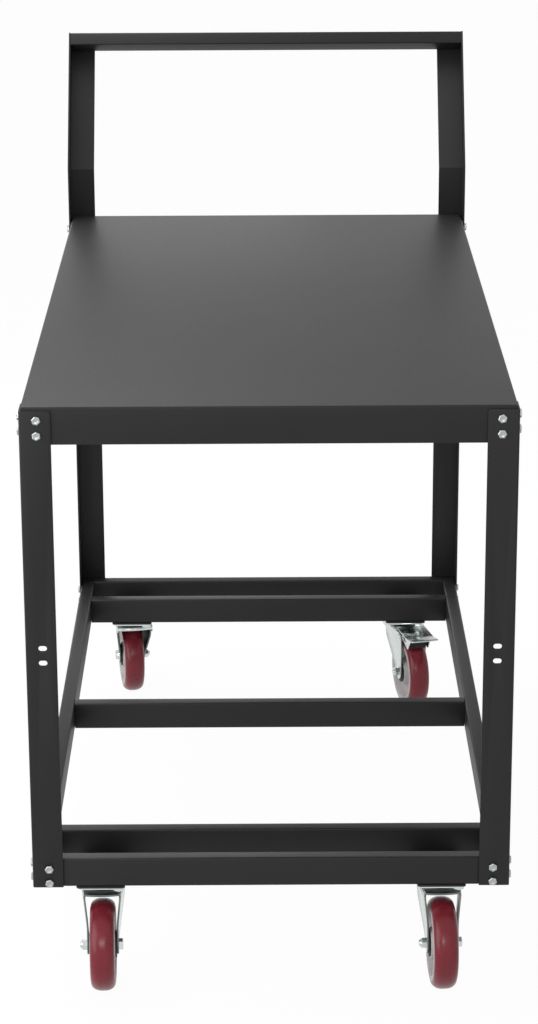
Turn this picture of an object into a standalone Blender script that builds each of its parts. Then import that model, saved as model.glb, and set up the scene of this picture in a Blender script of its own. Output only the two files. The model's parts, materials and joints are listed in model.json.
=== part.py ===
"""Mobile work table: a folded steel top on angle legs, a tube base on swivel casters, and a leaning handle.

Units are metres and +Z is up. +X is to the right of someone facing the table's plain end, and the handle is
at +Y. The origin is on the floor, under the middle of the table's overall box.
"""

import math

import bmesh
import bpy
from mathutils import Matrix, Vector

# Clearances
FIT = 0.0003  # between pieces that are welded, bolted or pressed together
RUN = 0.0004  # between pieces that turn on each other

# Table top, a folded sheet pan
TOP_WIDTH = 0.620
TOP_LENGTH = 1.100
TOP_SHEET = 0.0015
TOP_BEND = 0.001  # inside radius of the folds
APRON_DEPTH = 0.049

# Hat-section stiffener spot-welded under the top
HAT_WIDTH = 0.060
HAT_DEPTH = 0.025
HAT_FLANGE = 0.015
HAT_SHEET = 0.0015
HAT_END_GAP = 0.020

# Angle legs, outside the aprons and the base
LEG_LENGTH = 0.650
LEG_FLANGE = 0.040
LEG_SHEET = 0.002
LEG_BEND = 0.0005  # inside radius of the fold
LEG_CORNER = 0.004  # rounding of the flanges' top corners
LEG_DROP = 0.005  # top of the legs below the work surface

# Bolt holes and shelf slots in the legs
HOLE_INSET = 0.022  # from the leg's outer corner
HOLE_DIAMETER = 0.0066
HOLE_PITCH = 0.020
TOP_HOLE_DROP = 0.0115  # first hole below the top of the leg
FOOT_HOLE_RISE = 0.0065  # first hole above the foot of the leg
SLOT_LENGTH = 0.011
SLOT_WIDTH = 0.007
SLOT_PITCH = 0.020
SLOT_DROP = 0.315  # first slot below the top of the leg

# Base frame of rectangular tube
TUBE_WIDTH = 0.020
TUBE_HEIGHT = 0.040
TUBE_WALL = 0.0015
TUBE_CORNER = 0.001  # inside radius

# Handle: two folded angles and a tube bar
HANDLE_REAR_FLANGE = 0.040
HANDLE_SIDE_FLANGE = 0.034
HANDLE_SHEET = 0.0025
HANDLE_BEND = 0.0005  # inside radius of the fold
HANDLE_LAP = 0.060  # lower end of the uprights below the work surface
HANDLE_CREASE = 0.074  # crease of the rear flange above the work surface
HANDLE_ARM = 0.218  # from the crease to the top, along the rear flange
HANDLE_LEAN = math.radians(30.0)
BAR_HEIGHT = 0.020  # along the lean of the uprights

# Caster pads and places
CASTER_BAY = 0.110  # from the outer face of an end rail to the inner face of the tube behind it
CASTER_INSET = 0.086  # swivel axis from the side of the top
PAD_WIDTH = 0.064
PAD_SHEET = 0.003
PAD_CORNER = 0.004

# Caster top plate, swivel bearing and kingpin
PLATE_WIDTH = 0.062
PLATE_LENGTH = 0.104
PLATE_SHEET = 0.003
PLATE_CORNER = 0.008
CUP_DIAMETER = 0.054
CUP_DEPTH = 0.006
CUP_DRAFT = 0.002
BEARING_DIAMETER = 0.048
BEARING_HEIGHT = 0.0045
BEARING_LIP = 0.001
KINGPIN_DIAMETER = 0.0114
KINGPIN_HEAD = 0.020
KINGPIN_HEAD_HEIGHT = 0.0045

# Caster fork: a hood, open in front over the wheel, with two cheeks that close in towards the axle
FORK_SHEET = 0.0025
HOOD_WIDTH = 0.059
HOOD_FRONT = 0.042  # front edge of the roof ahead of the swivel axis
HOOD_BACK = 0.029  # back wall behind the swivel axis
HOOD_HEIGHT = 0.010
HOOD_CORNER = 0.008
HOOD_BULGE = 0.003  # bow of the front edge and of the back wall
HOOD_BACK_RISE = 0.0035  # rim of the hood's back wall above the rest of its rim
HOOD_BEND = 0.0015  # inside radius round its roof
TRAIL = 0.041
WHEEL_TOP_GAP = 0.002  # between the wheel and the level of the hood's rim
WHEEL_SIDE_GAP = 0.0025  # between the tread and the cheeks at the axle
CHEEK_BACK = 0.006  # back edge of the cheek behind the swivel axis
CHEEK_END = 0.013  # radius of the cheek round the axle
CHEEK_SHOULDER = 0.013  # straight back edge of the cheek below the hood
CHEEK_SHOULDER_RADIUS = 0.006
CHEEK_CORNER = 0.0025  # rounding of a cheek without a brake, under the front of the hood
CHEEK_LOBE = 0.0065  # radius of a cheek with a brake, round its pin
JOGGLE_SLOPE = 0.8  # how far the folds run back for each step down
JOGGLE_MARGIN = 0.001  # between the last fold and the flat round the axle
JOIN = 0.0002  # how far a joined sheet stands proud, so that no two faces lie in one plane

# Wheel and axle
WHEEL_DIAMETER = 0.122
TREAD_WIDTH = 0.032
TREAD_DEPTH = 0.0095
TREAD_SHOULDER = 0.009  # rounding of the tread's edges, along its depth and its width
TREAD_SHOULDER_WIDTH = 0.013
TREAD_SHOULDER_STEPS = 3
RIM_PROUD = 0.0005  # rim of the core beyond each side of the tread
RIM_DEPTH = 0.008
HUB_DIAMETER = 0.042
HUB_INSET = 0.002  # ends of the hub inside the ends of the bush, for a thread guard
WEB_SHEET = 0.012
WEB_FILLET = 0.003
BUSH_DIAMETER = 0.014
AXLE_DIAMETER = 0.008
HEX_ACROSS = 0.013
HEX_HEAD = 0.0053
HEX_NUT = 0.008
AXLE_TIP = 0.002

# Brake of the rear casters
PEDAL_SHEET = 0.002
PEDAL_WIDTH = 0.046
PEDAL_FORK_GAP = 0.0005  # between the pedal's ears and the cheeks at the axle
PEDAL_BACK_GAP = 0.006  # between the race cup and the pedal's back edge
PEDAL_OVERHANG = 0.019  # pedal's tip beyond the wheel
LIP_LENGTH = 0.030
LIP_RISE = math.radians(10.0)
PEDAL_PRESS = math.radians(7.0)
PIN_DIAMETER = 0.006
PIN_HEAD = 0.010
PIN_HEAD_HEIGHT = 0.002
PIN_REACH = 0.052  # brake pin from the swivel axis
PIN_WHEEL_GAP = 0.0012  # between the brake pin and the top of the wheel
EAR_END = 0.0055  # radius of the ear round the pin
EAR_BACK = 0.007  # ear along the pedal, behind and ahead of the pin
EAR_FRONT = 0.034
SHOE_SIDE_GAP = 0.002  # between the shoe and the pedal's ears
SHOE_GAP = 0.0005  # left between the shoe and the tread with the pedal down
SHOE_START = math.radians(15.0)  # shoe's arc, from straight above the axle
SHOE_END = math.radians(38.0)
SHOE_STEPS = 4

# Facets of round pieces, whole quarters so that a flat lies underneath
WHEEL_STEPS = 24
RING_STEPS = 16
SHAFT_STEPS = 12
HOLE_STEPS = 8
ARC_STEP = math.radians(45.0)
FOLD_STEPS = 2
SMOOTH_ANGLE = math.radians(50.0)  # edges sharper than this show as edges
WELD = 0.000001
PIERCE = 4  # length of a cutter, in thicknesses of the sheet that it goes through

# Rest swivel of each caster from its straight-ahead trail, and which ones have a brake
CASTERS = {
    "front_left": {"side": -1, "end": -1, "yaw": 1.3, "brake": False},
    "front_right": {"side": 1, "end": -1, "yaw": 3.3, "brake": False},
    "rear_left": {"side": -1, "end": 1, "yaw": 189.0, "brake": True},
    "rear_right": {"side": 1, "end": 1, "yaw": 14.0, "brake": True},
}

# Heights that follow from the sizes above; those of a caster are below the underside of its pad
WHEEL_RADIUS = WHEEL_DIAMETER / 2
PLATE_TOP = -FIT
PLATE_BOTTOM = PLATE_TOP - PLATE_SHEET
CUP_BOTTOM = PLATE_BOTTOM - CUP_DEPTH
BEARING_TOP = CUP_BOTTOM - RUN
BEARING_BOTTOM = BEARING_TOP - BEARING_HEIGHT
HOOD_TOP = BEARING_BOTTOM - FIT
HOOD_BOTTOM = HOOD_TOP - HOOD_HEIGHT
AXLE_LEVEL = HOOD_BOTTOM - WHEEL_TOP_GAP - WHEEL_RADIUS
PIN_LEVEL = AXLE_LEVEL + WHEEL_RADIUS + PIN_WHEEL_GAP + PIN_DIAMETER / 2
PAD_BOTTOM = WHEEL_RADIUS - AXLE_LEVEL
PAD_TOP = PAD_BOTTOM + PAD_SHEET
BASE_BOTTOM = PAD_TOP + FIT
LEG_TOP = BASE_BOTTOM + LEG_LENGTH
WORK_LEVEL = LEG_TOP + LEG_DROP

# Widths of a caster, from its tread outwards
AXLE_SPAN = TREAD_WIDTH + 2 * (WHEEL_SIDE_GAP + FORK_SHEET)
CHEEK_STEP = HOOD_WIDTH / 2 + JOIN - AXLE_SPAN / 2
EAR_SPAN = AXLE_SPAN - 2 * (FORK_SHEET + PEDAL_FORK_GAP)
SHAFT_HOLE = AXLE_DIAMETER / 2 + FIT
KINGPIN_HOLE = KINGPIN_DIAMETER / 2 + FIT

# Faces of the legs and the handle, from the middle of the top
LEG_FACE_X = TOP_WIDTH / 2 + FIT + LEG_SHEET
LEG_FACE_Y = TOP_LENGTH / 2 + FIT + LEG_SHEET
HANDLE_FACE_X = LEG_FACE_X + FIT + HANDLE_SHEET
HANDLE_FACE_Y = LEG_FACE_Y + FIT + HANDLE_SHEET


# Points


def arc(center, radius, start, end):
    """Points along an arc, the ends included, no further apart than the arc step."""
    steps = max(1, math.ceil(abs(end - start) / ARC_STEP - 0.001))
    angles = [start + (end - start) * step / steps for step in range(steps + 1)]
    return [(center[0] + radius * math.cos(a), center[1] + radius * math.sin(a)) for a in angles]


def belt(circles):
    """Outline of a belt drawn round circles (u, v, radius), which are listed anticlockwise."""
    normals = []
    for here, there in zip(circles, circles[1:] + circles[:1]):
        run = Vector((there[0] - here[0], there[1] - here[1]))
        lean = math.asin((here[2] - there[2]) / run.length)
        normals.append(math.atan2(run.y, run.x) - math.pi / 2 + lean)
    outline = []
    for index, (u, v, radius) in enumerate(circles):
        start, end = normals[index - 1], normals[index]
        end = start + (end - start) % (2 * math.pi)
        outline += arc((u, v), radius, start, end) if radius else [(u, v)]
    return outline


def rounded_rectangle(width, height, radius):
    """Outline of a rectangle with round corners, about its middle."""
    u, v = width / 2 - radius, height / 2 - radius
    return belt([(-u, -v, radius), (u, -v, radius), (u, v, radius), (-u, v, radius)])


def ring_outline(radius, steps, center=(0.0, 0.0)):
    """Points of a round hole or disc."""
    turn = 2 * math.pi / steps
    return [
        (center[0] + radius * math.cos(turn * step), center[1] + radius * math.sin(turn * step))
        for step in range(steps)
    ]


# Meshes


def evaluated_mesh(holder):
    """The finished mesh of a holder object, which is removed."""
    bpy.context.view_layer.update()
    graph = bpy.context.evaluated_depsgraph_get()
    mesh = bpy.data.meshes.new_from_object(holder.evaluated_get(graph))
    bpy.data.objects.remove(holder)
    return mesh


def held(mesh_or_curve):
    """An object in the scene that holds a mesh or a curve while it is worked on."""
    holder = bpy.data.objects.new("holder", mesh_or_curve)
    bpy.context.scene.collection.objects.link(holder)
    return holder


def tidied(mesh, place=None):
    """A closed mesh moved to its place, with doubles merged and faces pointing out."""
    work = bmesh.new()
    work.from_mesh(mesh)
    if place is not None:
        bmesh.ops.transform(work, matrix=place, verts=work.verts)
    bmesh.ops.remove_doubles(work, verts=work.verts, dist=WELD)
    bmesh.ops.recalc_face_normals(work, faces=work.faces)
    work.to_mesh(mesh)
    work.free()
    return mesh


def flat_piece(outlines, thickness, place=None):
    """A flat outline, with any holes after it, given a thickness about its own plane."""
    curve = bpy.data.curves.new("outline", "CURVE")
    curve.dimensions = "2D"
    curve.fill_mode = "BOTH"
    curve.extrude = thickness / 2
    for outline in outlines:
        spline = curve.splines.new("POLY")
        spline.points.add(len(outline) - 1)
        for point, (u, v) in zip(spline.points, outline):
            point.co = (u, v, 0.0, 1.0)
        spline.use_cyclic_u = True
    return tidied(evaluated_mesh(held(curve)), place)


def turned_piece(profile, steps, place=None, bored=True):
    """A profile of (radius, height) points, listed down its outer side, turned about Z.

    The profile of a bored piece closes on itself, and that of a solid one runs from axis to axis.
    """
    mesh = bpy.data.meshes.new("profile")
    count = len(profile)
    edges = [(index, (index + 1) % count) for index in range(count if bored else count - 1)]
    mesh.from_pydata([(radius, 0.0, height) for radius, height in profile], edges, [])
    holder = held(mesh)
    screw = holder.modifiers.new("turn", "SCREW")
    screw.steps = steps
    screw.render_steps = steps
    screw.use_merge_vertices = True
    screw.merge_threshold = WELD
    return tidied(evaluated_mesh(holder), place)


def folded_sheet(rows, thickness, rounded=(), radius=0.0):
    """A sheet through rows of points, its given face outside, with the named corner points rounded.

    Seen from outside, the rows run upwards and each row runs to the right.
    """
    work = bmesh.new()
    grid = [[work.verts.new(point) for point in row] for row in rows]
    for low, high in zip(grid, grid[1:]):
        for left in range(len(low) - 1):
            work.faces.new((low[left], low[left + 1], high[left + 1], high[left]))
    corners = [grid[row][column] for row, column in rounded]
    if corners:
        bmesh.ops.bevel(work, geom=corners, offset=radius, segments=FOLD_STEPS, affect="VERTICES")
    mesh = bpy.data.meshes.new("sheet")
    work.to_mesh(mesh)
    work.free()
    holder = held(mesh)
    wall = holder.modifiers.new("sheet", "SOLIDIFY")
    wall.thickness = thickness
    wall.offset = -1.0
    wall.use_even_offset = True
    return tidied(evaluated_mesh(holder))


def combined(mesh, other, operation):
    """Two meshes joined, or the second cut from the first."""
    holder = held(mesh)
    tool = held(other)
    boolean = holder.modifiers.new("join", "BOOLEAN")
    boolean.operation = operation
    boolean.solver = "EXACT"
    boolean.object = tool
    result = evaluated_mesh(holder)
    bpy.data.objects.remove(tool)
    return tidied(result)


def gathered(meshes):
    """Several separate meshes as one, to cut with."""
    work = bmesh.new()
    for mesh in meshes:
        work.from_mesh(mesh)
    whole = bpy.data.meshes.new("cutters")
    work.to_mesh(whole)
    work.free()
    return whole


def mirrored(mesh, side_x, side_y):
    """A copy of a mesh, mirrored where a side is -1."""
    return tidied(mesh.copy(), Matrix.Diagonal((side_x, side_y, 1.0, 1.0)))


def frame_of(u_axis, v_axis, origin=(0.0, 0.0, 0.0)):
    """The place of a flat piece: where its two plane axes and its origin go."""
    u, v = Vector(u_axis), Vector(v_axis)
    place = Matrix((u, v, u.cross(v))).transposed().to_4x4()
    place.translation = origin
    return place


# Scene and materials


def linear(hex_colour):
    """A hex colour as linear red, green, blue and alpha."""
    values = [int(hex_colour[start:start + 2], 16) / 255 for start in (0, 2, 4)]
    return [v / 12.92 if v <= 0.04045 else ((v + 0.055) / 1.055) ** 2.4 for v in values] + [1.0]


def new_material(name, hex_colour, roughness, metallic):
    """A Principled BSDF of one colour."""
    material = bpy.data.materials.new(name)
    material.use_nodes = True
    shader = material.node_tree.nodes["Principled BSDF"]
    shader.inputs["Base Color"].default_value = linear(hex_colour)
    shader.inputs["Roughness"].default_value = roughness
    shader.inputs["Metallic"].default_value = metallic
    return material


def new_empty(name, parent, location=(0.0, 0.0, 0.0), yaw=0.0):
    """An empty that carries other objects."""
    empty = bpy.data.objects.new(name, None)
    parts.objects.link(empty)
    empty.parent = parent
    empty.location = location
    empty.rotation_euler = (0.0, 0.0, yaw)
    return empty


def new_part(name, mesh, material, parent, location=(0.0, 0.0, 0.0), yaw=0.0):
    """A named sub-part that shows a mesh in a material, smooth between its sharp edges."""
    mesh.shade_smooth()
    mesh.set_sharp_from_angle(angle=SMOOTH_ANGLE)
    if not mesh.materials:
        mesh.materials.append(material)
    part = bpy.data.objects.new(name, mesh)
    parts.objects.link(part)
    part.parent = parent
    part.location = location
    part.rotation_euler = (0.0, 0.0, yaw)
    return part


for old in list(bpy.data.objects):
    bpy.data.objects.remove(old)
parts = bpy.data.collections.new("mobile_work_table")
bpy.context.scene.collection.children.link(parts)

powder_coat = new_material("black_powder_coat", "333333", 0.45, 0.0)
zinc = new_material("bright_zinc_plate", "c4c8c6", 0.28, 1.0)
polyurethane = new_material("maroon_polyurethane", "7a3238", 0.35, 0.0)
polypropylene = new_material("grey_polypropylene", "a3a3a1", 0.5, 0.0)
rubber = new_material("black_rubber", "1b1b1b", 0.7, 0.0)
bare_steel = new_material("bare_steel", "8d8f91", 0.35, 1.0)

table = new_empty("table", None)


# Table top


def top_mesh():
    """A sheet pan, open below: a block without its bottom, its folds rounded, given the sheet's thickness."""
    work = bmesh.new()
    bmesh.ops.create_cube(work, size=1.0)
    bmesh.ops.scale(work, vec=(TOP_WIDTH, TOP_LENGTH, APRON_DEPTH), verts=work.verts)
    bmesh.ops.translate(work, vec=(0.0, 0.0, -APRON_DEPTH / 2), verts=work.verts)
    bottom = [face for face in work.faces if face.normal.z < -0.5]
    bmesh.ops.delete(work, geom=bottom, context="FACES_ONLY")
    folds = [edge for edge in work.edges if len(edge.link_faces) == 2]
    radius = TOP_BEND + TOP_SHEET
    bmesh.ops.bevel(work, geom=folds, offset=radius, segments=FOLD_STEPS, affect="EDGES", profile=0.5)
    mesh = bpy.data.meshes.new("pan")
    work.to_mesh(mesh)
    work.free()
    holder = held(mesh)
    wall = holder.modifiers.new("sheet", "SOLIDIFY")
    wall.thickness = TOP_SHEET
    wall.offset = -1.0
    wall.use_even_offset = True
    return tidied(evaluated_mesh(holder))


def stiffener_mesh():
    """A hat section along the table, its flanges against the underside of the top sheet."""
    inner, outer = HAT_WIDTH / 2, HAT_WIDTH / 2 + HAT_FLANGE
    right = [(inner, -HAT_DEPTH), (inner, 0.0), (outer, 0.0)]
    section = [(-x, z) for x, z in reversed(right)] + right
    half = TOP_LENGTH / 2 - TOP_SHEET - HAT_END_GAP
    rows = [[(x, y, z) for x, z in section] for y in (-half, half)]
    return folded_sheet(rows, HAT_SHEET)


new_part("table_top", top_mesh(), powder_coat, table, (0.0, 0.0, WORK_LEVEL))
new_part("top_stiffener", stiffener_mesh(), powder_coat, table, (0.0, 0.0, WORK_LEVEL - TOP_SHEET - FIT))


# Legs


def angle_section(flange_x, flange_y, bend):
    """Outer face of an angle: along -Y from its free edge to the bend at the origin, then along +X."""
    return [(0.0, flange_y)] + arc((bend, bend), bend, math.pi, 1.5 * math.pi) + [(flange_x, 0.0)]


def flange_cutters(outline, length, inset, level):
    """The same hole in both flanges of an angle, cut through from the outer faces."""
    through_y = frame_of((1, 0, 0), (0, 0, 1), (inset, 0.0, level))
    through_x = frame_of((0, 1, 0), (0, 0, 1), (0.0, inset, level))
    return [flat_piece([outline], length, through_y), flat_piece([outline], length, through_x)]


def hole_levels(top, foot):
    """Heights of the bolt holes at the top and, where there is one, at the foot of a leg."""
    levels = [top - TOP_HOLE_DROP, top - TOP_HOLE_DROP - HOLE_PITCH]
    if foot is not None:
        levels += [foot + FOOT_HOLE_RISE, foot + FOOT_HOLE_RISE + HOLE_PITCH]
    return levels


def leg_mesh():
    """The front left leg, its foot and its outer corner at the origin."""
    section = angle_section(LEG_FLANGE, LEG_FLANGE, LEG_BEND + LEG_SHEET)
    rows = [[(x, y, z) for x, y in section] for z in (0.0, LEG_LENGTH)]
    leg = folded_sheet(rows, LEG_SHEET, [(1, 0), (1, len(section) - 1)], LEG_CORNER)
    hole = ring_outline(HOLE_DIAMETER / 2, HOLE_STEPS)
    slot = rounded_rectangle(SLOT_LENGTH, SLOT_WIDTH, SLOT_WIDTH / 2 - WELD)
    depth = PIERCE * LEG_SHEET
    cutters = []
    for level in hole_levels(LEG_LENGTH, 0.0):
        cutters += flange_cutters(hole, depth, HOLE_INSET, level)
    for level in (LEG_LENGTH - SLOT_DROP, LEG_LENGTH - SLOT_DROP - SLOT_PITCH):
        cutters += flange_cutters(slot, depth, HOLE_INSET, level)
    return combined(leg, gathered(cutters), "DIFFERENCE")


front_left_leg = leg_mesh()
for caster, spot in CASTERS.items():
    mesh = mirrored(front_left_leg, -spot["side"], -spot["end"])
    corner = (spot["side"] * LEG_FACE_X, spot["end"] * LEG_FACE_Y, BASE_BOTTOM)
    new_part("leg_" + caster, mesh, powder_coat, table, corner)


# Base frame


def tube_section(width, height):
    """Outside and inside of a rectangular tube."""
    outer = rounded_rectangle(width, height, TUBE_CORNER + TUBE_WALL)
    return [outer, rounded_rectangle(width - 2 * TUBE_WALL, height - 2 * TUBE_WALL, TUBE_CORNER)]


def tube_mesh(length, mitre):
    """A rectangular tube along X, its ends square, or mitred so that its +Y face is the short one."""
    mesh = flat_piece(tube_section(TUBE_WIDTH, TUBE_HEIGHT), length, frame_of((0, 1, 0), (0, 0, 1)))
    if mitre:
        for vertex in mesh.vertices:
            shortening = vertex.co.y + TUBE_WIDTH / 2
            vertex.co.x -= math.copysign(shortening, vertex.co.x)
    return mesh


base_level = BASE_BOTTOM + TUBE_HEIGHT / 2
mitre_gap = FIT * math.sqrt(2.0)
end_rail = tube_mesh(TOP_WIDTH - mitre_gap, True)
side_rail = tube_mesh(TOP_LENGTH - mitre_gap, True)
cross_rail = tube_mesh(TOP_WIDTH - 2 * (TUBE_WIDTH + FIT), False)
end_rail_y = TOP_LENGTH / 2 - TUBE_WIDTH / 2
side_rail_x = TOP_WIDTH / 2 - TUBE_WIDTH / 2
inner_rail_y = TOP_LENGTH / 2 - CASTER_BAY + TUBE_WIDTH / 2
new_part("base_rail_front", end_rail, powder_coat, table, (0.0, -end_rail_y, base_level))
new_part("base_rail_rear", end_rail, powder_coat, table, (0.0, end_rail_y, base_level), math.pi)
new_part("base_rail_left", side_rail, powder_coat, table, (-side_rail_x, 0.0, base_level), -math.pi / 2)
new_part("base_rail_right", side_rail, powder_coat, table, (side_rail_x, 0.0, base_level), math.pi / 2)
new_part("base_rail_front_inner", cross_rail, powder_coat, table, (0.0, -inner_rail_y, base_level))
new_part("base_rail_rear_inner", cross_rail, powder_coat, table, (0.0, inner_rail_y, base_level))
new_part("base_rail_center", cross_rail, powder_coat, table, (0.0, 0.0, base_level))


# Handle


def upright_mesh():
    """The left upright: an angle swept up past the work surface, then leaning back from its mitred crease."""
    rear = HANDLE_SIDE_FLANGE
    foot = []
    crease = []
    top = []
    section = angle_section(HANDLE_REAR_FLANGE, HANDLE_SIDE_FLANGE, HANDLE_BEND + HANDLE_SHEET)
    for x, ahead in section:
        y = rear - ahead
        foot.append((x, y, -HANDLE_LAP))
        crease.append((x, y, HANDLE_CREASE + ahead * math.tan(HANDLE_LEAN / 2)))
        back = HANDLE_ARM * math.sin(HANDLE_LEAN) - ahead * math.cos(HANDLE_LEAN)
        up = HANDLE_ARM * math.cos(HANDLE_LEAN) + ahead * math.sin(HANDLE_LEAN)
        top.append((x, rear + back, HANDLE_CREASE + up))
    rows = [row[::-1] for row in (foot, crease, top)]
    upright = folded_sheet(rows, HANDLE_SHEET)
    hole = ring_outline(HOLE_DIAMETER / 2, HOLE_STEPS)
    cutters = []
    for level in hole_levels(-LEG_DROP, None):
        for cutter in flange_cutters(hole, PIERCE * HANDLE_SHEET, HOLE_INSET + HANDLE_SHEET + FIT, level):
            cutters.append(tidied(cutter, Matrix.Translation((0, rear, 0)) @ Matrix.Diagonal((1, -1, 1, 1))))
    return combined(upright, gathered(cutters), "DIFFERENCE")


def bar_mesh():
    """The bar between the uprights, square to their lean, its front flush with their side flanges."""
    depth = HANDLE_SIDE_FLANGE - HANDLE_SHEET - FIT
    length = 2 * (HANDLE_FACE_X - HANDLE_SHEET - FIT)
    ahead = HANDLE_SIDE_FLANGE - depth / 2
    along = HANDLE_ARM - BAR_HEIGHT / 2
    back = along * math.sin(HANDLE_LEAN) - ahead * math.cos(HANDLE_LEAN)
    up = along * math.cos(HANDLE_LEAN) + ahead * math.sin(HANDLE_LEAN)
    place = Matrix.Translation((0.0, HANDLE_SIDE_FLANGE + back, HANDLE_CREASE + up))
    lean = Matrix.Rotation(-HANDLE_LEAN, 4, "X")
    return flat_piece(tube_section(depth, BAR_HEIGHT), length, place @ lean @ frame_of((0, 1, 0), (0, 0, 1)))


handle_y = HANDLE_FACE_Y - HANDLE_SIDE_FLANGE
left_upright = upright_mesh()
right_upright = mirrored(left_upright, -1, 1)
new_part("handle_upright_left", left_upright, powder_coat, table, (-HANDLE_FACE_X, handle_y, WORK_LEVEL))
new_part("handle_upright_right", right_upright, powder_coat, table, (HANDLE_FACE_X, handle_y, WORK_LEVEL))
new_part("handle_bar", bar_mesh(), powder_coat, table, (0.0, handle_y, WORK_LEVEL))


# Casters, each drawn about its swivel axis with the origin under its pad and its trail along -Y


def pad_mesh():
    """The black plate welded under a pair of end tubes."""
    outline = rounded_rectangle(PAD_WIDTH, CASTER_BAY, PAD_CORNER)
    return flat_piece([outline], PAD_SHEET, Matrix.Translation((0.0, 0.0, PAD_SHEET / 2)))


def plate_mesh():
    """The top plate with its pressed race cup, pierced for the kingpin."""
    outline = rounded_rectangle(PLATE_WIDTH, PLATE_LENGTH, PLATE_CORNER)
    middle = (PLATE_TOP + PLATE_BOTTOM) / 2
    plate = flat_piece([outline], PLATE_SHEET, Matrix.Translation((0.0, 0.0, middle)))
    radius, bore = CUP_DIAMETER / 2, KINGPIN_HOLE
    side = [(radius, middle), (radius, PLATE_BOTTOM), (radius - CUP_DRAFT, CUP_BOTTOM)]
    cup = turned_piece(side + [(bore, CUP_BOTTOM), (bore, middle)], RING_STEPS)
    outline = ring_outline(bore, RING_STEPS)
    hole = flat_piece([outline], PIERCE * PLATE_SHEET, Matrix.Translation((0.0, 0.0, middle)))
    return combined(combined(plate, hole, "DIFFERENCE"), cup, "UNION")


def kingpin_mesh():
    """The rivet that the fork swivels on, its head under the hood."""
    shank, head = KINGPIN_DIAMETER / 2, KINGPIN_HEAD / 2
    seat = HOOD_TOP - FORK_SHEET - RUN
    bottom = seat - KINGPIN_HEAD_HEIGHT
    chamfer = KINGPIN_HEAD_HEIGHT / 3
    profile = [
        (0.0, PLATE_TOP),
        (shank, PLATE_TOP),
        (shank, seat),
        (head, seat),
        (head, bottom + chamfer),
        (head - chamfer, bottom),
        (0.0, bottom),
    ]
    return turned_piece(profile, SHAFT_STEPS, bored=False)


def bearing_mesh():
    """The ring of the ball race, with its outer edges eased."""
    radius, bore = BEARING_DIAMETER / 2, KINGPIN_HOLE
    profile = [
        (radius - BEARING_LIP, BEARING_TOP),
        (radius, BEARING_TOP - BEARING_LIP),
        (radius, BEARING_BOTTOM + BEARING_LIP),
        (radius - BEARING_LIP, BEARING_BOTTOM),
        (bore, BEARING_BOTTOM),
        (bore, BEARING_TOP),
    ]
    return turned_piece(profile, RING_STEPS)


def joggle_place(ahead, level):
    """How far a point of the cheek is past the swivel axis, measured square to the slanting folds."""
    return ahead + JOGGLE_SLOPE * (HOOD_BOTTOM - level)


def joggle_ends():
    """Where the cheek starts to close in, at its back edge, and ends, short of the flat at the axle."""
    flat = math.hypot(1.0, JOGGLE_SLOPE) * CHEEK_END + JOGGLE_MARGIN
    return -CHEEK_BACK, joggle_place(TRAIL, AXLE_LEVEL) - flat


def cheek_face(ahead, level):
    """The cheek's outer face at a point, from the middle of the fork."""
    first, last = joggle_ends()
    share = min(1.0, max(0.0, (joggle_place(ahead, level) - first) / (last - first)))
    return HOOD_WIDTH / 2 + JOIN - CHEEK_STEP * share


def hood_mesh():
    """The fork's pressed crown: a roof with side walls and a bowed back wall, open below and in front."""
    side, corner = HOOD_WIDTH / 2, HOOD_CORNER
    front_side = cheek_face(HOOD_FRONT, HOOD_BOTTOM) - JOIN
    outline = belt([
        (-front_side, -HOOD_FRONT, 0.0),
        (0.0, -HOOD_FRONT - HOOD_BULGE, 0.0),
        (front_side, -HOOD_FRONT, 0.0),
        (side, CHEEK_BACK, 0.0),
        (side - corner, HOOD_BACK - corner, corner),
        (0.0, HOOD_BACK + HOOD_BULGE, 0.0),
        (corner - side, HOOD_BACK - corner, corner),
        (-side, CHEEK_BACK, 0.0),
    ])
    middle = (HOOD_TOP + HOOD_BOTTOM) / 2
    block = flat_piece([outline], HOOD_HEIGHT, Matrix.Translation((0.0, 0.0, middle)))
    work = bmesh.new()
    work.from_mesh(block)
    bmesh.ops.dissolve_limit(work, angle_limit=math.radians(1.0), verts=work.verts, edges=work.edges)
    open_faces = [face for face in work.faces if face.normal.z < -0.5 or face.normal.y < -0.5]
    bmesh.ops.delete(work, geom=open_faces, context="FACES_ONLY")
    run = HOOD_BACK + HOOD_BULGE - CHEEK_BACK
    for vertex in work.verts:
        if vertex.co.z < middle and vertex.co.y > CHEEK_BACK:
            vertex.co.z += HOOD_BACK_RISE * (vertex.co.y - CHEEK_BACK) / run
    folds = []
    for edge in work.edges:
        if len(edge.link_faces) == 2 and min(end.co.z for end in edge.verts) > middle:
            folds.append(edge)
    radius = HOOD_BEND + FORK_SHEET
    bmesh.ops.bevel(work, geom=folds, offset=radius, segments=FOLD_STEPS, affect="EDGES", profile=0.5)
    loose = [edge for edge in work.edges if not edge.link_faces]
    bmesh.ops.delete(work, geom=loose, context="EDGES")
    work.to_mesh(block)
    work.free()
    holder = held(block)
    wall = holder.modifiers.new("sheet", "SOLIDIFY")
    wall.thickness = FORK_SHEET
    wall.offset = -1.0
    wall.use_even_offset = True
    return tidied(evaluated_mesh(holder))


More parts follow.
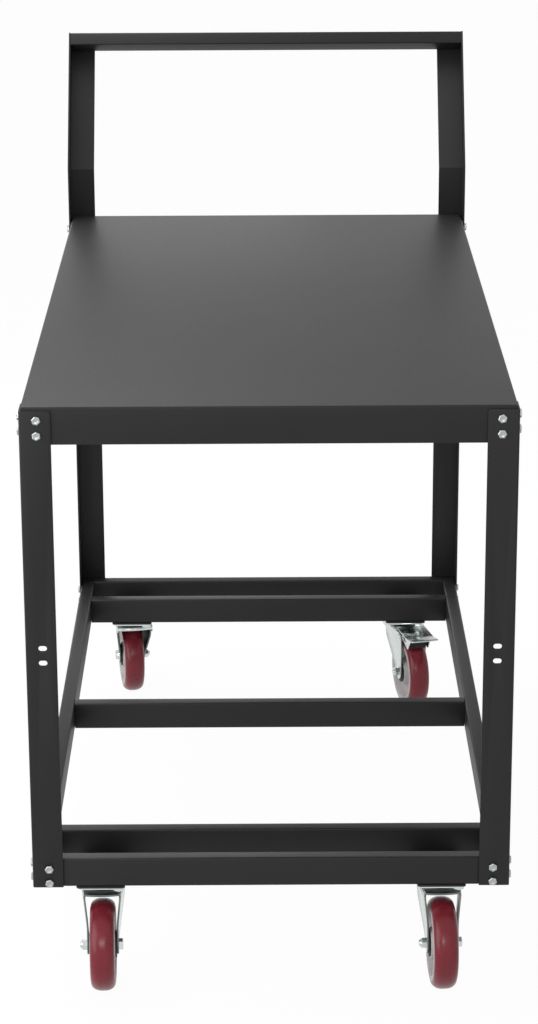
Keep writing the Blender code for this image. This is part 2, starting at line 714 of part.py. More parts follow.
def cheek_mesh(with_pin):
    """The right cheek: a plate from the hood to the axle, with a lobe round the brake pin if it has one."""
    top = HOOD_TOP - HOOD_BEND - FORK_SHEET
    shoulder = HOOD_BOTTOM - CHEEK_SHOULDER
    if with_pin:
        front = (PIN_REACH, PIN_LEVEL, CHEEK_LOBE)
    else:
        front = (HOOD_FRONT + 2 * JOIN - CHEEK_CORNER, HOOD_BOTTOM + CHEEK_CORNER, CHEEK_CORNER)
    outline = belt([
        (-CHEEK_BACK, top, 0.0),
        (-CHEEK_BACK + CHEEK_SHOULDER_RADIUS, shoulder, CHEEK_SHOULDER_RADIUS),
        (TRAIL, AXLE_LEVEL, CHEEK_END),
        front,
    ])
    hole = ring_outline(SHAFT_HOLE, SHAFT_STEPS, (TRAIL, AXLE_LEVEL))
    plane = frame_of((0, -1, 0), (0, 0, 1), (-FORK_SHEET / 2, 0.0, 0.0))
    cheek = flat_piece([outline, hole], FORK_SHEET, plane)
    work = bmesh.new()
    work.from_mesh(cheek)
    for fold in joggle_ends():
        everything = list(work.verts) + list(work.edges) + list(work.faces)
        on_fold, across = (0, -fold, HOOD_BOTTOM), (0, -1, -JOGGLE_SLOPE)
        bmesh.ops.bisect_plane(work, geom=everything, plane_co=on_fold, plane_no=across, dist=WELD)
    for vertex in work.verts:
        vertex.co.x += cheek_face(-vertex.co.y, vertex.co.z)
    work.to_mesh(cheek)
    work.free()
    return cheek


def brake_pin_mesh():
    """The pin that the pedal rocks on, riveted over outside both cheeks."""
    radius, head = PIN_DIAMETER / 2, PIN_HEAD / 2
    half = cheek_face(PIN_REACH - head, PIN_LEVEL)
    end = half + PIN_HEAD_HEIGHT
    seat = half - FORK_SHEET / 2
    right = [(0.0, end), (head, end), (head, seat), (radius, seat)]
    left = [(reach, -along) for reach, along in reversed(right)]
    place = frame_of((0, 1, 0), (0, 0, 1), (0.0, -PIN_REACH, PIN_LEVEL))
    return turned_piece(right + left, SHAFT_STEPS, place, bored=False)


def fork_mesh(with_pin):
    """Hood and cheeks in one pressing, pierced for the kingpin, with the brake pin where there is one."""
    fork = hood_mesh()
    cheek = cheek_mesh(with_pin)
    fork = combined(fork, mirrored(cheek, -1, 1), "UNION")
    fork = combined(fork, cheek, "UNION")
    outline = ring_outline(KINGPIN_HOLE, SHAFT_STEPS)
    hole = flat_piece([outline], PIERCE * FORK_SHEET, Matrix.Translation((0.0, 0.0, HOOD_TOP)))
    fork = combined(fork, hole, "DIFFERENCE")
    return combined(fork, brake_pin_mesh(), "UNION") if with_pin else fork


# Pieces on the axle are drawn about it, along X
ALONG_X = frame_of((0, 1, 0), (0, 0, 1))


def hexagon():
    """Outline of a hex head or nut."""
    return ring_outline(HEX_ACROSS / math.sqrt(3.0), 6)


def axle_bolt_mesh():
    """The axle bolt, its head outside the right cheek."""
    seat = AXLE_SPAN / 2 + FIT
    end = seat + HEX_NUT + AXLE_TIP
    head = flat_piece([hexagon()], HEX_HEAD, ALONG_X @ Matrix.Translation((0.0, 0.0, seat + HEX_HEAD / 2)))
    top = seat + HEX_HEAD / 2
    profile = [(0.0, top), (AXLE_DIAMETER / 2, top), (AXLE_DIAMETER / 2, -end), (0.0, -end)]
    return combined(head, turned_piece(profile, SHAFT_STEPS, ALONG_X, bored=False), "UNION")


def axle_nut_mesh():
    """The nut outside the left cheek."""
    middle = -AXLE_SPAN / 2 - FIT - HEX_NUT / 2
    bore = ring_outline(SHAFT_HOLE, SHAFT_STEPS)
    return flat_piece([hexagon(), bore], HEX_NUT, ALONG_X @ Matrix.Translation((0.0, 0.0, middle)))


def bush_half():
    """Half the length of the bush that the cheeks are clamped on."""
    return AXLE_SPAN / 2 - FORK_SHEET - FIT


def bush_mesh():
    """The steel bush on the axle bolt."""
    radius, half = BUSH_DIAMETER / 2, bush_half()
    profile = [(radius, half), (radius, -half), (SHAFT_HOLE, -half), (SHAFT_HOLE, half)]
    return turned_piece(profile, SHAFT_STEPS, ALONG_X)


def core_mesh():
    """The moulded wheel core: hub, thin web and rim."""
    rim, rim_half = WHEEL_RADIUS - TREAD_DEPTH - FIT, TREAD_WIDTH / 2 + RIM_PROUD
    hub, hub_half = HUB_DIAMETER / 2, bush_half() - HUB_INSET
    bore = (BUSH_DIAMETER / 2 + RUN) / math.cos(math.pi / WHEEL_STEPS)
    web_half, rim_inner = WEB_SHEET / 2, rim - RIM_DEPTH
    side = [
        (bore, hub_half),
        (hub, hub_half),
        (hub + WEB_FILLET, web_half),
        (rim_inner - WEB_FILLET, web_half),
        (rim_inner, rim_half),
        (rim, rim_half),
    ]
    other_side = [(radius, -height) for radius, height in reversed(side)]
    return turned_piece(side + other_side, WHEEL_STEPS, ALONG_X)


def tread_mesh():
    """The cast tyre, with round shoulders and a flat facet underneath."""
    half, inner = TREAD_WIDTH / 2, WHEEL_RADIUS - TREAD_DEPTH
    quarter = math.pi / 2
    upper = []
    for step in range(TREAD_SHOULDER_STEPS + 1):
        angle = quarter * (1 - step / TREAD_SHOULDER_STEPS)
        radius = WHEEL_RADIUS - TREAD_SHOULDER * (1 - math.cos(angle))
        upper.append((radius, half - TREAD_SHOULDER_WIDTH * (1 - math.sin(angle))))
    lower = [(radius, -height) for radius, height in reversed(upper)]
    outward = 1 / math.cos(math.pi / WHEEL_STEPS)
    section = upper + lower + [(inner, -half), (inner, half)]
    profile = [(radius * outward, height) for radius, height in section]
    half_step = Matrix.Rotation(math.pi / WHEEL_STEPS, 4, "Z")
    return turned_piece(profile, WHEEL_STEPS, ALONG_X @ half_step)


# Pieces of the brake are drawn about its pin, the pedal reaching along -Y
PEDAL_PLANE = frame_of((0, -1, 0), (0, 0, 1))


def pedal_mesh():
    """The foot pedal: a plate with a raised lip, and two ears on the pin."""
    under = HOOD_TOP + RUN - PIN_LEVEL
    back = CUP_DIAMETER / 2 + PEDAL_BACK_GAP - PIN_REACH
    tip = TRAIL + WHEEL_RADIUS + PEDAL_OVERHANG - PIN_REACH
    top = under + PEDAL_SHEET
    bend = tip - LIP_LENGTH * math.cos(LIP_RISE)
    line = [(back, top), (bend, top), (tip, top + LIP_LENGTH * math.sin(LIP_RISE))]
    half = PEDAL_WIDTH / 2
    rows = [[(x, -reach, height) for x in (half, -half)] for reach, height in line]
    pedal = folded_sheet(rows, PEDAL_SHEET)
    middle = under + PEDAL_SHEET / 2
    outline = belt([(-EAR_BACK, middle, 0.0), (0.0, 0.0, EAR_END), (EAR_FRONT, middle, 0.0)])
    hole = ring_outline(PIN_DIAMETER / 2 + RUN, SHAFT_STEPS)
    for side in (-1, 1):
        inset = side * (EAR_SPAN / 2 - PEDAL_SHEET / 2)
        ear = flat_piece([outline, hole], PEDAL_SHEET, Matrix.Translation((inset, 0.0, 0.0)) @ PEDAL_PLANE)
        pedal = combined(pedal, ear, "UNION")
    return pedal


def shoe_mesh():
    """The shoe under the pedal, its face drawn on the tread with the pedal down, then turned back up."""
    radius = WHEEL_RADIUS / math.cos(math.pi / WHEEL_STEPS) + SHOE_GAP
    face = []
    for step in range(SHOE_STEPS + 1):
        angle = SHOE_START + (SHOE_END - SHOE_START) * step / SHOE_STEPS
        reach = TRAIL + radius * math.sin(angle) - PIN_REACH
        height = AXLE_LEVEL + radius * math.cos(angle) - PIN_LEVEL
        turn_cos, turn_sin = math.cos(PEDAL_PRESS), math.sin(PEDAL_PRESS)
        face.append((reach * turn_cos - height * turn_sin, reach * turn_sin + height * turn_cos))
    top = HOOD_TOP + RUN - PIN_LEVEL - FIT
    outline = face + [(face[-1][0], top), (face[0][0], top)]
    return flat_piece([outline], EAR_SPAN - 2 * (PEDAL_SHEET + SHOE_SIDE_GAP), PEDAL_PLANE)


pad = pad_mesh()
plate = plate_mesh()
kingpin = kingpin_mesh()
bearing = bearing_mesh()
forks = {False: fork_mesh(False), True: fork_mesh(True)}
axle_bolt = axle_bolt_mesh()
axle_nut = axle_nut_mesh()
bush = bush_mesh()
core = core_mesh()
tread = tread_mesh()
pedal = pedal_mesh()
shoe = shoe_mesh()

for caster, spot in CASTERS.items():
    axis_x = spot["side"] * (TOP_WIDTH / 2 - CASTER_INSET)
    axis_y = spot["end"] * (TOP_LENGTH / 2 - CASTER_BAY / 2)
    fixed = new_empty("caster_" + caster, table, (axis_x, axis_y, PAD_BOTTOM))
    new_part("caster_pad_" + caster, pad, powder_coat, fixed)
    new_part("caster_plate_" + caster, plate, zinc, fixed)
    new_part("kingpin_" + caster, kingpin, zinc, fixed)
    swivel = new_empty("swivel_" + caster, fixed, yaw=math.radians(spot["yaw"]))
    new_part("swivel_bearing_" + caster, bearing, zinc, swivel)
    new_part("fork_" + caster, forks[spot["brake"]], zinc, swivel)
    axle = new_empty("axle_" + caster, swivel, (0.0, -TRAIL, AXLE_LEVEL))
    new_part("axle_bolt_" + caster, axle_bolt, zinc, axle)
    new_part("axle_nut_" + caster, axle_nut, zinc, axle)
    new_part("axle_bush_" + caster, bush, bare_steel, axle)
    new_part("wheel_core_" + caster, core, polypropylene, axle)
    new_part("wheel_tread_" + caster, tread, polyurethane, axle)
    if spot["brake"]:
        pin = new_empty("brake_pin_" + caster, swivel, (0.0, -PIN_REACH, PIN_LEVEL))
        new_part("brake_pedal_" + caster, pedal, zinc, pin)
        new_part("brake_shoe_" + caster, shoe, rubber, pin)

# Stand the middle of the finished table's box over the origin
bpy.context.view_layer.update()
ends = []
for part in parts.objects:
    if part.data:
        ends += [(part.matrix_world @ Vector(corner)).y for corner in part.bound_box]
table.location.y = -(min(ends) + max(ends)) / 2
bpy.context.view_layer.update()
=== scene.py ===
import json
import math

import bmesh
import bpy
from mathutils import Matrix, Vector


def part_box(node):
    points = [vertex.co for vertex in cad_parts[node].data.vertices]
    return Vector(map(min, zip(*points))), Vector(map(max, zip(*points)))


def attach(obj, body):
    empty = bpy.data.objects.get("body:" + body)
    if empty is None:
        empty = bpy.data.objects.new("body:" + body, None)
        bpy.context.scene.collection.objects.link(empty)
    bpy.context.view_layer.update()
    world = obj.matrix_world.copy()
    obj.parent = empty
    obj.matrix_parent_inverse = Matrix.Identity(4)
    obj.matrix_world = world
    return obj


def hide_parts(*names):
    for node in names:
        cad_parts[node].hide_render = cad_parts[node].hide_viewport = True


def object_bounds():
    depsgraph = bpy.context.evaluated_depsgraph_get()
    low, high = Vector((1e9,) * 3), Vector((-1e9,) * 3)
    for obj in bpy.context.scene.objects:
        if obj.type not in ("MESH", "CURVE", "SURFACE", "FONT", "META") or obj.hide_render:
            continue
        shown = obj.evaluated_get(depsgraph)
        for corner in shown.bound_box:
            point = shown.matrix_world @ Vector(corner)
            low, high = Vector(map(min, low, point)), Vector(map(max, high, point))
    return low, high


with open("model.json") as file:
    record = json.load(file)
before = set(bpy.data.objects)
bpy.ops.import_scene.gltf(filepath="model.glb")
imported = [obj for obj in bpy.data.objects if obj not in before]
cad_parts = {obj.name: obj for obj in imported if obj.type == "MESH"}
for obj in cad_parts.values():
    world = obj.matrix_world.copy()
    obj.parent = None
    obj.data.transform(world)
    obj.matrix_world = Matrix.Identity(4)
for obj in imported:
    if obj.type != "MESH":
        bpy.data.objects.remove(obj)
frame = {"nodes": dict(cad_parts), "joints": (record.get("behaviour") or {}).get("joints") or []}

cadLow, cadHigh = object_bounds()  # the CAD box; its bottom sets the floor's level
joints = {joint["name"]: joint for joint in frame["joints"]}
plainCorners = ("front_left", "front_right")
brakedCorners = ("rear_left", "rear_right")
casterCorners = plainCorners + brakedCorners
gap = 0.0003  # left between neighbours, as in the CAD
mergeUnder = 0.000005  # points nearer than this become one
slack = 0.0001  # for choosing points by their place
mostly, squarely = 0.5, 0.9  # how near a normal or an edge is to a direction
easeSteps, easeOver = 2, 50.0  # edges sharper than this many degrees are eased
smoothUnder = 38.0  # degrees between two faces that are shaded as one
roundSteps, cornerSteps, innerSteps = 5, 6, 4  # of rounded edges and drawn corners
print("frame loaded,", len(frame["nodes"]), "nodes")


# Hand tools

def closeMesh():
    bpy.ops.object.mode_set(mode="OBJECT")


def clearSelection():
    if bpy.context.object and bpy.context.object.mode != "OBJECT":
        closeMesh()
    bpy.ops.object.select_all(action="DESELECT")


def pickUp(piece):  # the only selected piece, and the active one; an open mesh is closed
    clearSelection()
    piece.select_set(True)
    bpy.context.view_layer.objects.active = piece


def openMesh(piece):
    pickUp(piece)
    bpy.ops.object.mode_set(mode="EDIT")


def choose(kind, test):  # in edit mode, by place or normal
    bpy.ops.mesh.select_mode(type=kind)
    bpy.ops.mesh.select_all(action="DESELECT")
    mesh = bmesh.from_edit_mesh(bpy.context.object.data)
    for item in {"VERT": mesh.verts, "EDGE": mesh.edges, "FACE": mesh.faces}[kind]:
        if test(item):
            item.select_set(True)
    mesh.select_flush_mode()
    bmesh.update_edit_mesh(bpy.context.object.data)


def chooseAll():
    bpy.ops.mesh.select_all(action="SELECT")


def isFold(edge):  # between two faces, not on a rim
    return len(edge.link_faces) == 2


def turnOutwards():  # all faces, in edit mode
    chooseAll()
    bpy.ops.mesh.normals_make_consistent(inside=False)


def pullOut(step):  # extrudes what is chosen
    bpy.ops.mesh.extrude_region_move(TRANSFORM_OT_translate={"value": step})


def roundEdges(test, radius, steps=roundSteps):  # of the open mesh
    choose("EDGE", test)
    bpy.ops.mesh.bevel(offset=radius, segments=steps, affect="EDGES")


def cutOff(place, away):  # all that is past a plane; the cut is closed
    chooseAll()
    bpy.ops.mesh.bisect(plane_co=place, plane_no=away, use_fill=True, clear_outer=True)


def mendMesh(piece):  # doubles become one point, and all faces point outwards
    openMesh(piece)
    chooseAll()
    bpy.ops.mesh.remove_doubles(threshold=mergeUnder)
    turnOutwards()
    closeMesh()


def nameIt(name):
    piece = bpy.context.object
    piece.name = name
    piece.data.name = name
    return piece


def fixPlace():  # of the active piece, into its mesh
    bpy.ops.object.transform_apply(location=True, rotation=True, scale=True)


def setDown(piece, place):
    pickUp(piece)
    piece.matrix_world = place
    fixPlace()


def moved(step):
    return Matrix.Translation(step)


def turned(degrees, axis="Z"):
    return Matrix.Rotation(math.radians(degrees), 4, axis)


def addBlock(name, low, high):  # a cube at its size and place
    clearSelection()
    low, high = Vector(low), Vector(high)
    bpy.ops.mesh.primitive_cube_add(size=1.0, location=(low + high) / 2, scale=high - low)
    fixPlace()
    return nameIt(name)


def addRound(name, sides, radius, low, high):  # a cylinder along Z
    clearSelection()
    bpy.ops.mesh.primitive_cylinder_add(vertices=sides, radius=radius, depth=high - low,
                                        location=(0, 0, (low + high) / 2))
    fixPlace()
    return nameIt(name)


def roundAlong(piece, axis, radius, steps=roundSteps):  # left in edit mode
    def isAlong(edge):
        return abs((edge.verts[1].co - edge.verts[0].co).normalized()[axis]) > squarely

    openMesh(piece)
    roundEdges(isAlong, radius, steps)


def drawLine(name, points, closed=True):  # a vertex, extruded to each point; left in edit mode
    clearSelection()
    bpy.ops.mesh.primitive_plane_add(size=1.0, location=(0, 0, 0))
    piece = nameIt(name)
    bpy.ops.object.mode_set(mode="EDIT")
    bpy.ops.mesh.select_mode(type="VERT")
    chooseAll()
    bpy.ops.mesh.merge(type="CENTER")
    bpy.ops.transform.translate(value=points[0])
    for before, after in zip(points, points[1:]):
        pullOut(Vector(after) - Vector(before))
    if closed:
        choose("VERT", lambda vert: len(vert.link_edges) == 1)
        bpy.ops.mesh.edge_face_add()
    chooseAll()
    return piece


def drawSheet(name, points):  # a flat outline, filled; left in edit mode
    piece = drawLine(name, points)
    bpy.ops.mesh.edge_face_add()
    chooseAll()
    return piece


def spinPiece(name, profile, steps, closed=True):  # profile of (along X, radius), spun about X
    piece = drawLine(name, [(along, 0.0, radius) for along, radius in profile], closed)
    bpy.ops.mesh.spin(steps=steps, angle=2 * math.pi, center=(0, 0, 0), axis=(1, 0, 0))
    mendMesh(piece)
    return piece


def mirrored(side):  # half a profile, run back on the other side
    return [(-along, out) for along, out in reversed(side)]


def useModifier(piece, kind, **settings):
    pickUp(piece)
    tool = piece.modifiers.new(kind.lower(), kind)
    for key, value in settings.items():
        setattr(tool, key, value)
    bpy.ops.object.modifier_apply(modifier=tool.name)


def easeEdges(piece, width):
    useModifier(piece, "BEVEL", width=width, segments=easeSteps, limit_method="ANGLE",
                angle_limit=math.radians(easeOver))


def faceSheet(piece, way):  # an open sheet's faces, all to one side; ends edit mode
    turnOutwards()
    faces = bmesh.from_edit_mesh(piece.data).faces
    if sum(face.normal.dot(Vector(way)) for face in faces) < 0:
        bpy.ops.mesh.flip_normals()
    closeMesh()


def pressSheet(piece, sizes):  # inwards; a second finish goes on the rim, and a third inside
    useModifier(piece, "SOLIDIFY", thickness=sizes["sheet"], offset=-1.0, use_even_offset=True,
                material_offset_rim=1, material_offset=2)
    easeEdges(piece, sizes["edge"])


def cutWith(piece, cutter):  # the cutter is used up
    useModifier(piece, "BOOLEAN", operation="DIFFERENCE", solver="EXACT", object=cutter)
    putAway(cutter)


def joinPieces(name, pieces):
    pickUp(pieces[0])
    for piece in pieces[1:]:
        piece.select_set(True)
    bpy.ops.object.join()
    return nameIt(name)


def copyPiece(piece, name, place):  # its own mesh, set in place
    pickUp(piece)
    bpy.ops.object.duplicate()
    twin = nameIt(name)
    setDown(twin, place)
    if place.determinant() < 0:
        mendMesh(twin)
    return twin


def putAway(*patterns):  # once their copies are made
    for piece in patterns:
        bpy.data.objects.remove(piece)


def giveFinishes(piece, *finishes):
    piece.data.materials.clear()
    for finish in finishes:
        piece.data.materials.append(finish)


def handOver(piece, finish, body, node="", smooth=smoothUnder):  # None: it keeps its finish
    if finish:
        giveFinishes(piece, finish)
    pickUp(piece)
    bpy.ops.object.shade_smooth_by_angle(angle=math.radians(smooth))
    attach(piece, body)
    if node:
        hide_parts(node)


def coatSteel(piece, node, smooth=smoothUnder):  # the table's own black steel
    handOver(piece, blackPowderCoat, "table", node, smooth)


def arcPoints(center, radius, start, end, steps):  # degrees
    points = []
    for step in range(steps + 1):
        angle = math.radians(start + (end - start) * step / steps)
        points.append((center[0] + radius * math.cos(angle), center[1] + radius * math.sin(angle)))
    return points


def beltPoints(circles, degrees=9.0):  # a belt round circles (u, v, radius), listed anticlockwise
    normals = []
    for here, there in zip(circles, circles[1:] + circles[:1]):
        run = Vector((there[0] - here[0], there[1] - here[1]))
        tilt = math.asin((here[2] - there[2]) / run.length)
        normals.append(math.degrees(math.atan2(run.y, run.x) + tilt) - 90.0)
    points = []
    for index, (u, v, radius) in enumerate(circles):
        start = normals[index - 1]
        sweep = (normals[index] - start) % 360.0
        if radius:
            steps = max(1, math.ceil(sweep / degrees))
            points += arcPoints((u, v), radius, start, start + sweep, steps)
        else:
            points.append((u, v))
    return points


# Camera, lights and floor

cameraSettings = {
    "lens": 101.94, "sensor": 36.0,  # mm; the sensor lies along the frame's long side
    "down": 18.252, "turn": -0.1215, "roll": -0.246,  # degrees
    "fromTopEdge": (-0.00811, -3.46164, 1.00306),  # from the middle of the top's front edge
}
topLow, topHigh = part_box("table_top")
bpy.ops.object.camera_add()
camera = bpy.context.object
camera.name = "photoCamera"
camera.data.lens = cameraSettings["lens"]
camera.data.sensor_width = cameraSettings["sensor"]
frontEdge = Vector((0.0, topLow.y, topHigh.z))
camera.matrix_world = (
    moved(frontEdge + Vector(cameraSettings["fromTopEdge"])) @ turned(cameraSettings["turn"])
    @ turned(90.0 - cameraSettings["down"], "X") @ turned(cameraSettings["roll"])
)
bpy.context.scene.camera = camera
bpy.context.scene.view_settings.view_transform = "Standard"


def linearColour(hexColour):  # sRGB hex to linear
    values = [int(hexColour[start:start + 2], 16) / 255 for start in (1, 3, 5)]
    return [v / 12.92 if v <= 0.04045 else ((v + 0.055) / 1.055) ** 2.4 for v in values] + [1.0]


def addNode(tree, kind, settings=None, links=None):  # links: socket name or number -> output
    node = tree.nodes.new(kind)
    for key, value in (settings or {}).items():
        if isinstance(key, str) and hasattr(node, key):
            setattr(node, key, value)
        else:
            node.inputs[key].default_value = value
    for key, output in (links or {}).items():
        tree.links.new(output, node.inputs[key])
    return node


lightSettings = {
    "world": 0.55,  # what lights the object from all round
    "lookAt": (0.0, 0.0, 0.45),
    "softboxes": {  # watts, width and place
        "keySoftbox": (46.0, 2.4, (-2.2, -1.6, 1.3)),
        "fillSoftbox": (42.0, 1.6, (-0.8, 0.7, 2.8)),
        "backSoftbox": (3.5, 1.0, (-0.4, 2.4, 0.6)),
        "frontSoftbox": (28.0, 0.75, (-0.2, -4.2, 2.1)),
    },
    "floorSize": 40.0, "floorDrop": 0.0005, "floorGrey": 0.92,
    "floorWhite": 0.96,  # how much of the floor is plain white; the rest takes the shadow
}
plainWhite = {"Color": (1, 1, 1, 1), "Strength": 1.0}


def seenRays(tree):  # 1 for what the camera, a reflection or glass sees
    rays = addNode(tree, "ShaderNodeLightPath").outputs
    seen = rays["Is Camera Ray"]
    for kind in ("Is Glossy Ray", "Is Transmission Ray"):
        seen = addNode(tree, "ShaderNodeMath", {"operation": "MAXIMUM"},
                       {0: seen, 1: rays[kind]}).outputs[0]
    return seen


world = bpy.data.worlds.new("whiteStudio")
bpy.context.scene.world = world
world.use_nodes = True
worldTree = world.node_tree
worldTree.nodes.clear()
worldLight = addNode(worldTree, "ShaderNodeBackground",
                     {"Color": (1, 1, 1, 1), "Strength": lightSettings["world"]})
worldWhite = addNode(worldTree, "ShaderNodeBackground", plainWhite)
worldMix = addNode(worldTree, "ShaderNodeMixShader", {},
                   {0: seenRays(worldTree), 1: worldLight.outputs[0], 2: worldWhite.outputs[0]})
addNode(worldTree, "ShaderNodeOutputWorld", {}, {"Surface": worldMix.outputs[0]})

for name, (power, size, place) in lightSettings["softboxes"].items():
    bpy.ops.object.light_add(type="AREA", location=place)
    lamp = bpy.context.object
    lamp.name = name
    lamp.data.energy = power
    lamp.data.size = size
    aim = Vector(lightSettings["lookAt"]) - Vector(place)
    lamp.rotation_euler = aim.to_track_quat("-Z", "Y").to_euler()

# Matt white paper
floorPaint = bpy.data.materials.new("whiteFloorPaper")
floorPaint.use_nodes = True
floorTree = floorPaint.node_tree
floorTree.nodes.clear()
floorShare = addNode(floorTree, "ShaderNodeMath",
                     {"operation": "MULTIPLY", 1: lightSettings["floorWhite"]},
                     {0: seenRays(floorTree)})
floorMatt = addNode(floorTree, "ShaderNodeBsdfDiffuse",
                    {"Color": [lightSettings["floorGrey"]] * 3 + [1.0]})
floorGlow = addNode(floorTree, "ShaderNodeEmission", plainWhite)
floorMix = addNode(floorTree, "ShaderNodeMixShader", {},
                   {0: floorShare.outputs[0], 1: floorMatt.outputs[0], 2: floorGlow.outputs[0]})
addNode(floorTree, "ShaderNodeOutputMaterial", {}, {"Surface": floorMix.outputs[0]})
clearSelection()
bpy.ops.mesh.primitive_plane_add(size=lightSettings["floorSize"],
                                 location=(0, 0, cadLow.z - lightSettings["floorDrop"]))
floorPaper = nameIt("floorPaper")
giveFinishes(floorPaper, floorPaint)
print("camera, lights and floor set")


# Materials: a tint and a sheen that drift with a pattern, and a bump where the surface has relief

noiseLow, noiseHigh = 0.3, 0.7  # most of a noise pattern lies between them


def mixFinish(name, recipe):
    material = bpy.data.materials.new(name)
    material.use_nodes = True
    tree = material.node_tree
    tree.nodes.clear()
    shader = addNode(tree, "ShaderNodeBsdfPrincipled", recipe.get("shader"))
    addNode(tree, "ShaderNodeOutputMaterial", {}, {"Surface": shader.outputs["BSDF"]})
    place = addNode(tree, "ShaderNodeTexCoord").outputs["Object"]
    patterns = {}
    for pattern, look in recipe["patterns"].items():  # sizes in mm, on coordinates in metres
        spot = place
        if "length" in look:  # drawn out along X
            drawnOut = (look["size"] / look["length"], 1.0, 1.0)
            spot = addNode(tree, "ShaderNodeMapping", {"Scale": drawnOut},
                           {"Vector": place}).outputs["Vector"]
        grain = {"Scale": 1000.0 / look["size"], "Detail": look["detail"],
                 "Roughness": look.get("grit", 0.5)}
        noise = addNode(tree, "ShaderNodeTexNoise", grain, {"Vector": spot})
        patterns[pattern] = noise.outputs["Fac"]
    pattern, darker, lighter = recipe["tint"]
    tint = addNode(tree, "ShaderNodeMix", {
        "data_type": "RGBA", "A": linearColour(darker), "B": linearColour(lighter),
    }, {"Factor": patterns[pattern]})
    tree.links.new(tint.outputs["Result"], shader.inputs["Base Color"])
    pattern, glossier, duller = recipe["sheen"]
    sheen = addNode(tree, "ShaderNodeMapRange", {
        "From Min": noiseLow, "From Max": noiseHigh, "To Min": glossier, "To Max": duller,
    }, {"Value": patterns[pattern]})
    tree.links.new(sheen.outputs["Result"], shader.inputs["Roughness"])
    if "bump" in recipe:
        pattern, strength, height = recipe["bump"]
        bump = addNode(tree, "ShaderNodeBump", {"Strength": strength, "Distance": height},
                       {"Height": patterns[pattern]})
        tree.links.new(bump.outputs["Normal"], shader.inputs["Normal"])
    return material


# Polyester powder coat, baked on steel: satin black, with the fine orange peel of melted powder
blackPowderCoat = mixFinish("blackPowderCoat", {
    "patterns": {
        "cloud": {"size": 160.0, "detail": 2.0},
        "peel": {"size": 2.2, "detail": 3.0, "grit": 0.55},  # really 1 mm; coarser, to show
    },
    "tint": ("cloud", "#1a1a1a", "#202020"), "sheen": ("peel", 0.46, 0.52),
    "bump": ("peel", 0.10, 0.00012), "shader": {"Specular IOR Level": 0.25},
})

# Bright zinc plate on pressed steel: a cool silver mirror, blurred, with the streaks of the
# rolled sheet under it
brightZinc = mixFinish("brightZincPlate", {
    "patterns": {
        "cloud": {"size": 22.0, "detail": 3.0},
        "streaks": {"size": 3.0, "length": 28.0, "detail": 4.0, "grit": 0.6},
    },
    "tint": ("cloud", "#c3cbc8", "#d3d8d6"), "sheen": ("streaks", 0.16, 0.30),
    "bump": ("streaks", 0.22, 0.0002), "shader": {"Metallic": 1.0},
})

# Sheared edge of the plated sheet: torn and rough under the plate, and toned darker than the faces,
# partly as painted shade for the dark reflections on the fork's edges
shearedZincAndShade = mixFinish("shearedZincEdgeAndShade", {
    "patterns": {"torn": {"size": 0.8, "detail": 3.0}},
    "tint": ("torn", "#666c69", "#858b88"), "sheen": ("torn", 0.42, 0.60),
    "bump": ("torn", 0.2, 0.0001), "shader": {"Metallic": 1.0},
})

# Zinc plate toned dark green grey for the fork's inner faces and the hood's top: painted shade and
# painted dark reflection
paintedShadeZinc = mixFinish("zincPaintedShade", {
    "patterns": {"shadeMottle": {"size": 9.0, "detail": 4.0}},
    "tint": ("shadeMottle", "#565f5b", "#77807b"), "sheen": ("shadeMottle", 0.30, 0.46),
    "shader": {"Metallic": 1.0},
})

# Dull zinc plate on small hex fasteners, tumbled in the bath and handled: an even mid grey
dullZinc = mixFinish("dullZincPlate", {
    "patterns": {"handled": {"size": 3.5, "detail": 3.0}},
    "tint": ("handled", "#a0a4a2", "#b6bab8"), "sheen": ("handled", 0.30, 0.44),
    "shader": {"Metallic": 1.0},
})

# Hardened race steel, half shiny, toned dark green grey as painted shade for the gap between the
# plate and the hood
raceSteelPaintedShade = mixFinish("raceSteelPaintedShade", {
    "patterns": {"raceMottle": {"size": 6.0, "detail": 4.0}},
    "tint": ("raceMottle", "#3c423f", "#565c58"), "sheen": ("raceMottle", 0.26, 0.48),
    "shader": {"Metallic": 0.7},
})

# Cast polyurethane: deep maroon, glossy from its mould, very slightly mottled
maroonPolyurethane = mixFinish("maroonPolyurethane", {
    "patterns": {"mottle": {"size": 14.0, "detail": 4.0}, "grain": {"size": 1.6, "detail": 2.0}},
    "tint": ("mottle", "#681923", "#761f2b"), "sheen": ("mottle", 0.26, 0.34),
    "bump": ("grain", 0.06, 0.0001), "shader": {"IOR": 1.5, "Specular IOR Level": 0.32},
})

# Moulded polypropylene: soft grey, satin, with the fine spark grain of its mould
greyPolypropylene = mixFinish("greyPolypropylene", {
    "patterns": {"flow": {"size": 30.0, "detail": 3.0}, "spark": {"size": 0.9, "detail": 2.0}},
    "tint": ("flow", "#a6a1a0", "#b1acab"), "sheen": ("spark", 0.42, 0.55),
    "bump": ("spark", 0.08, 0.0001),
})

# Black nitrile rubber and moulded nylon: dead black, matt, faintly dusty
blackRubber = mixFinish("blackRubber", {
    "patterns": {"grain": {"size": 1.4, "detail": 3.0}},
    "tint": ("grain", "#141414", "#1d1d1d"), "sheen": ("grain", 0.55, 0.72),
    "bump": ("grain", 0.12, 0.0001), "shader": {"Specular IOR Level": 0.3},
})

# Turned bare steel, oiled: darker than the zinc, uneven where the tool ran
bareSteel = mixFinish("bareSteel", {
    "patterns": {"turned": {"size": 1.2, "detail": 3.0}},
    "tint": ("turned", "#85878a", "#9a9c9f"), "sheen": ("turned", 0.28, 0.42),
    "shader": {"Metallic": 1.0},
})
print("materials mixed")


# Table top: a folded pan, with a hat-section stiffener under it

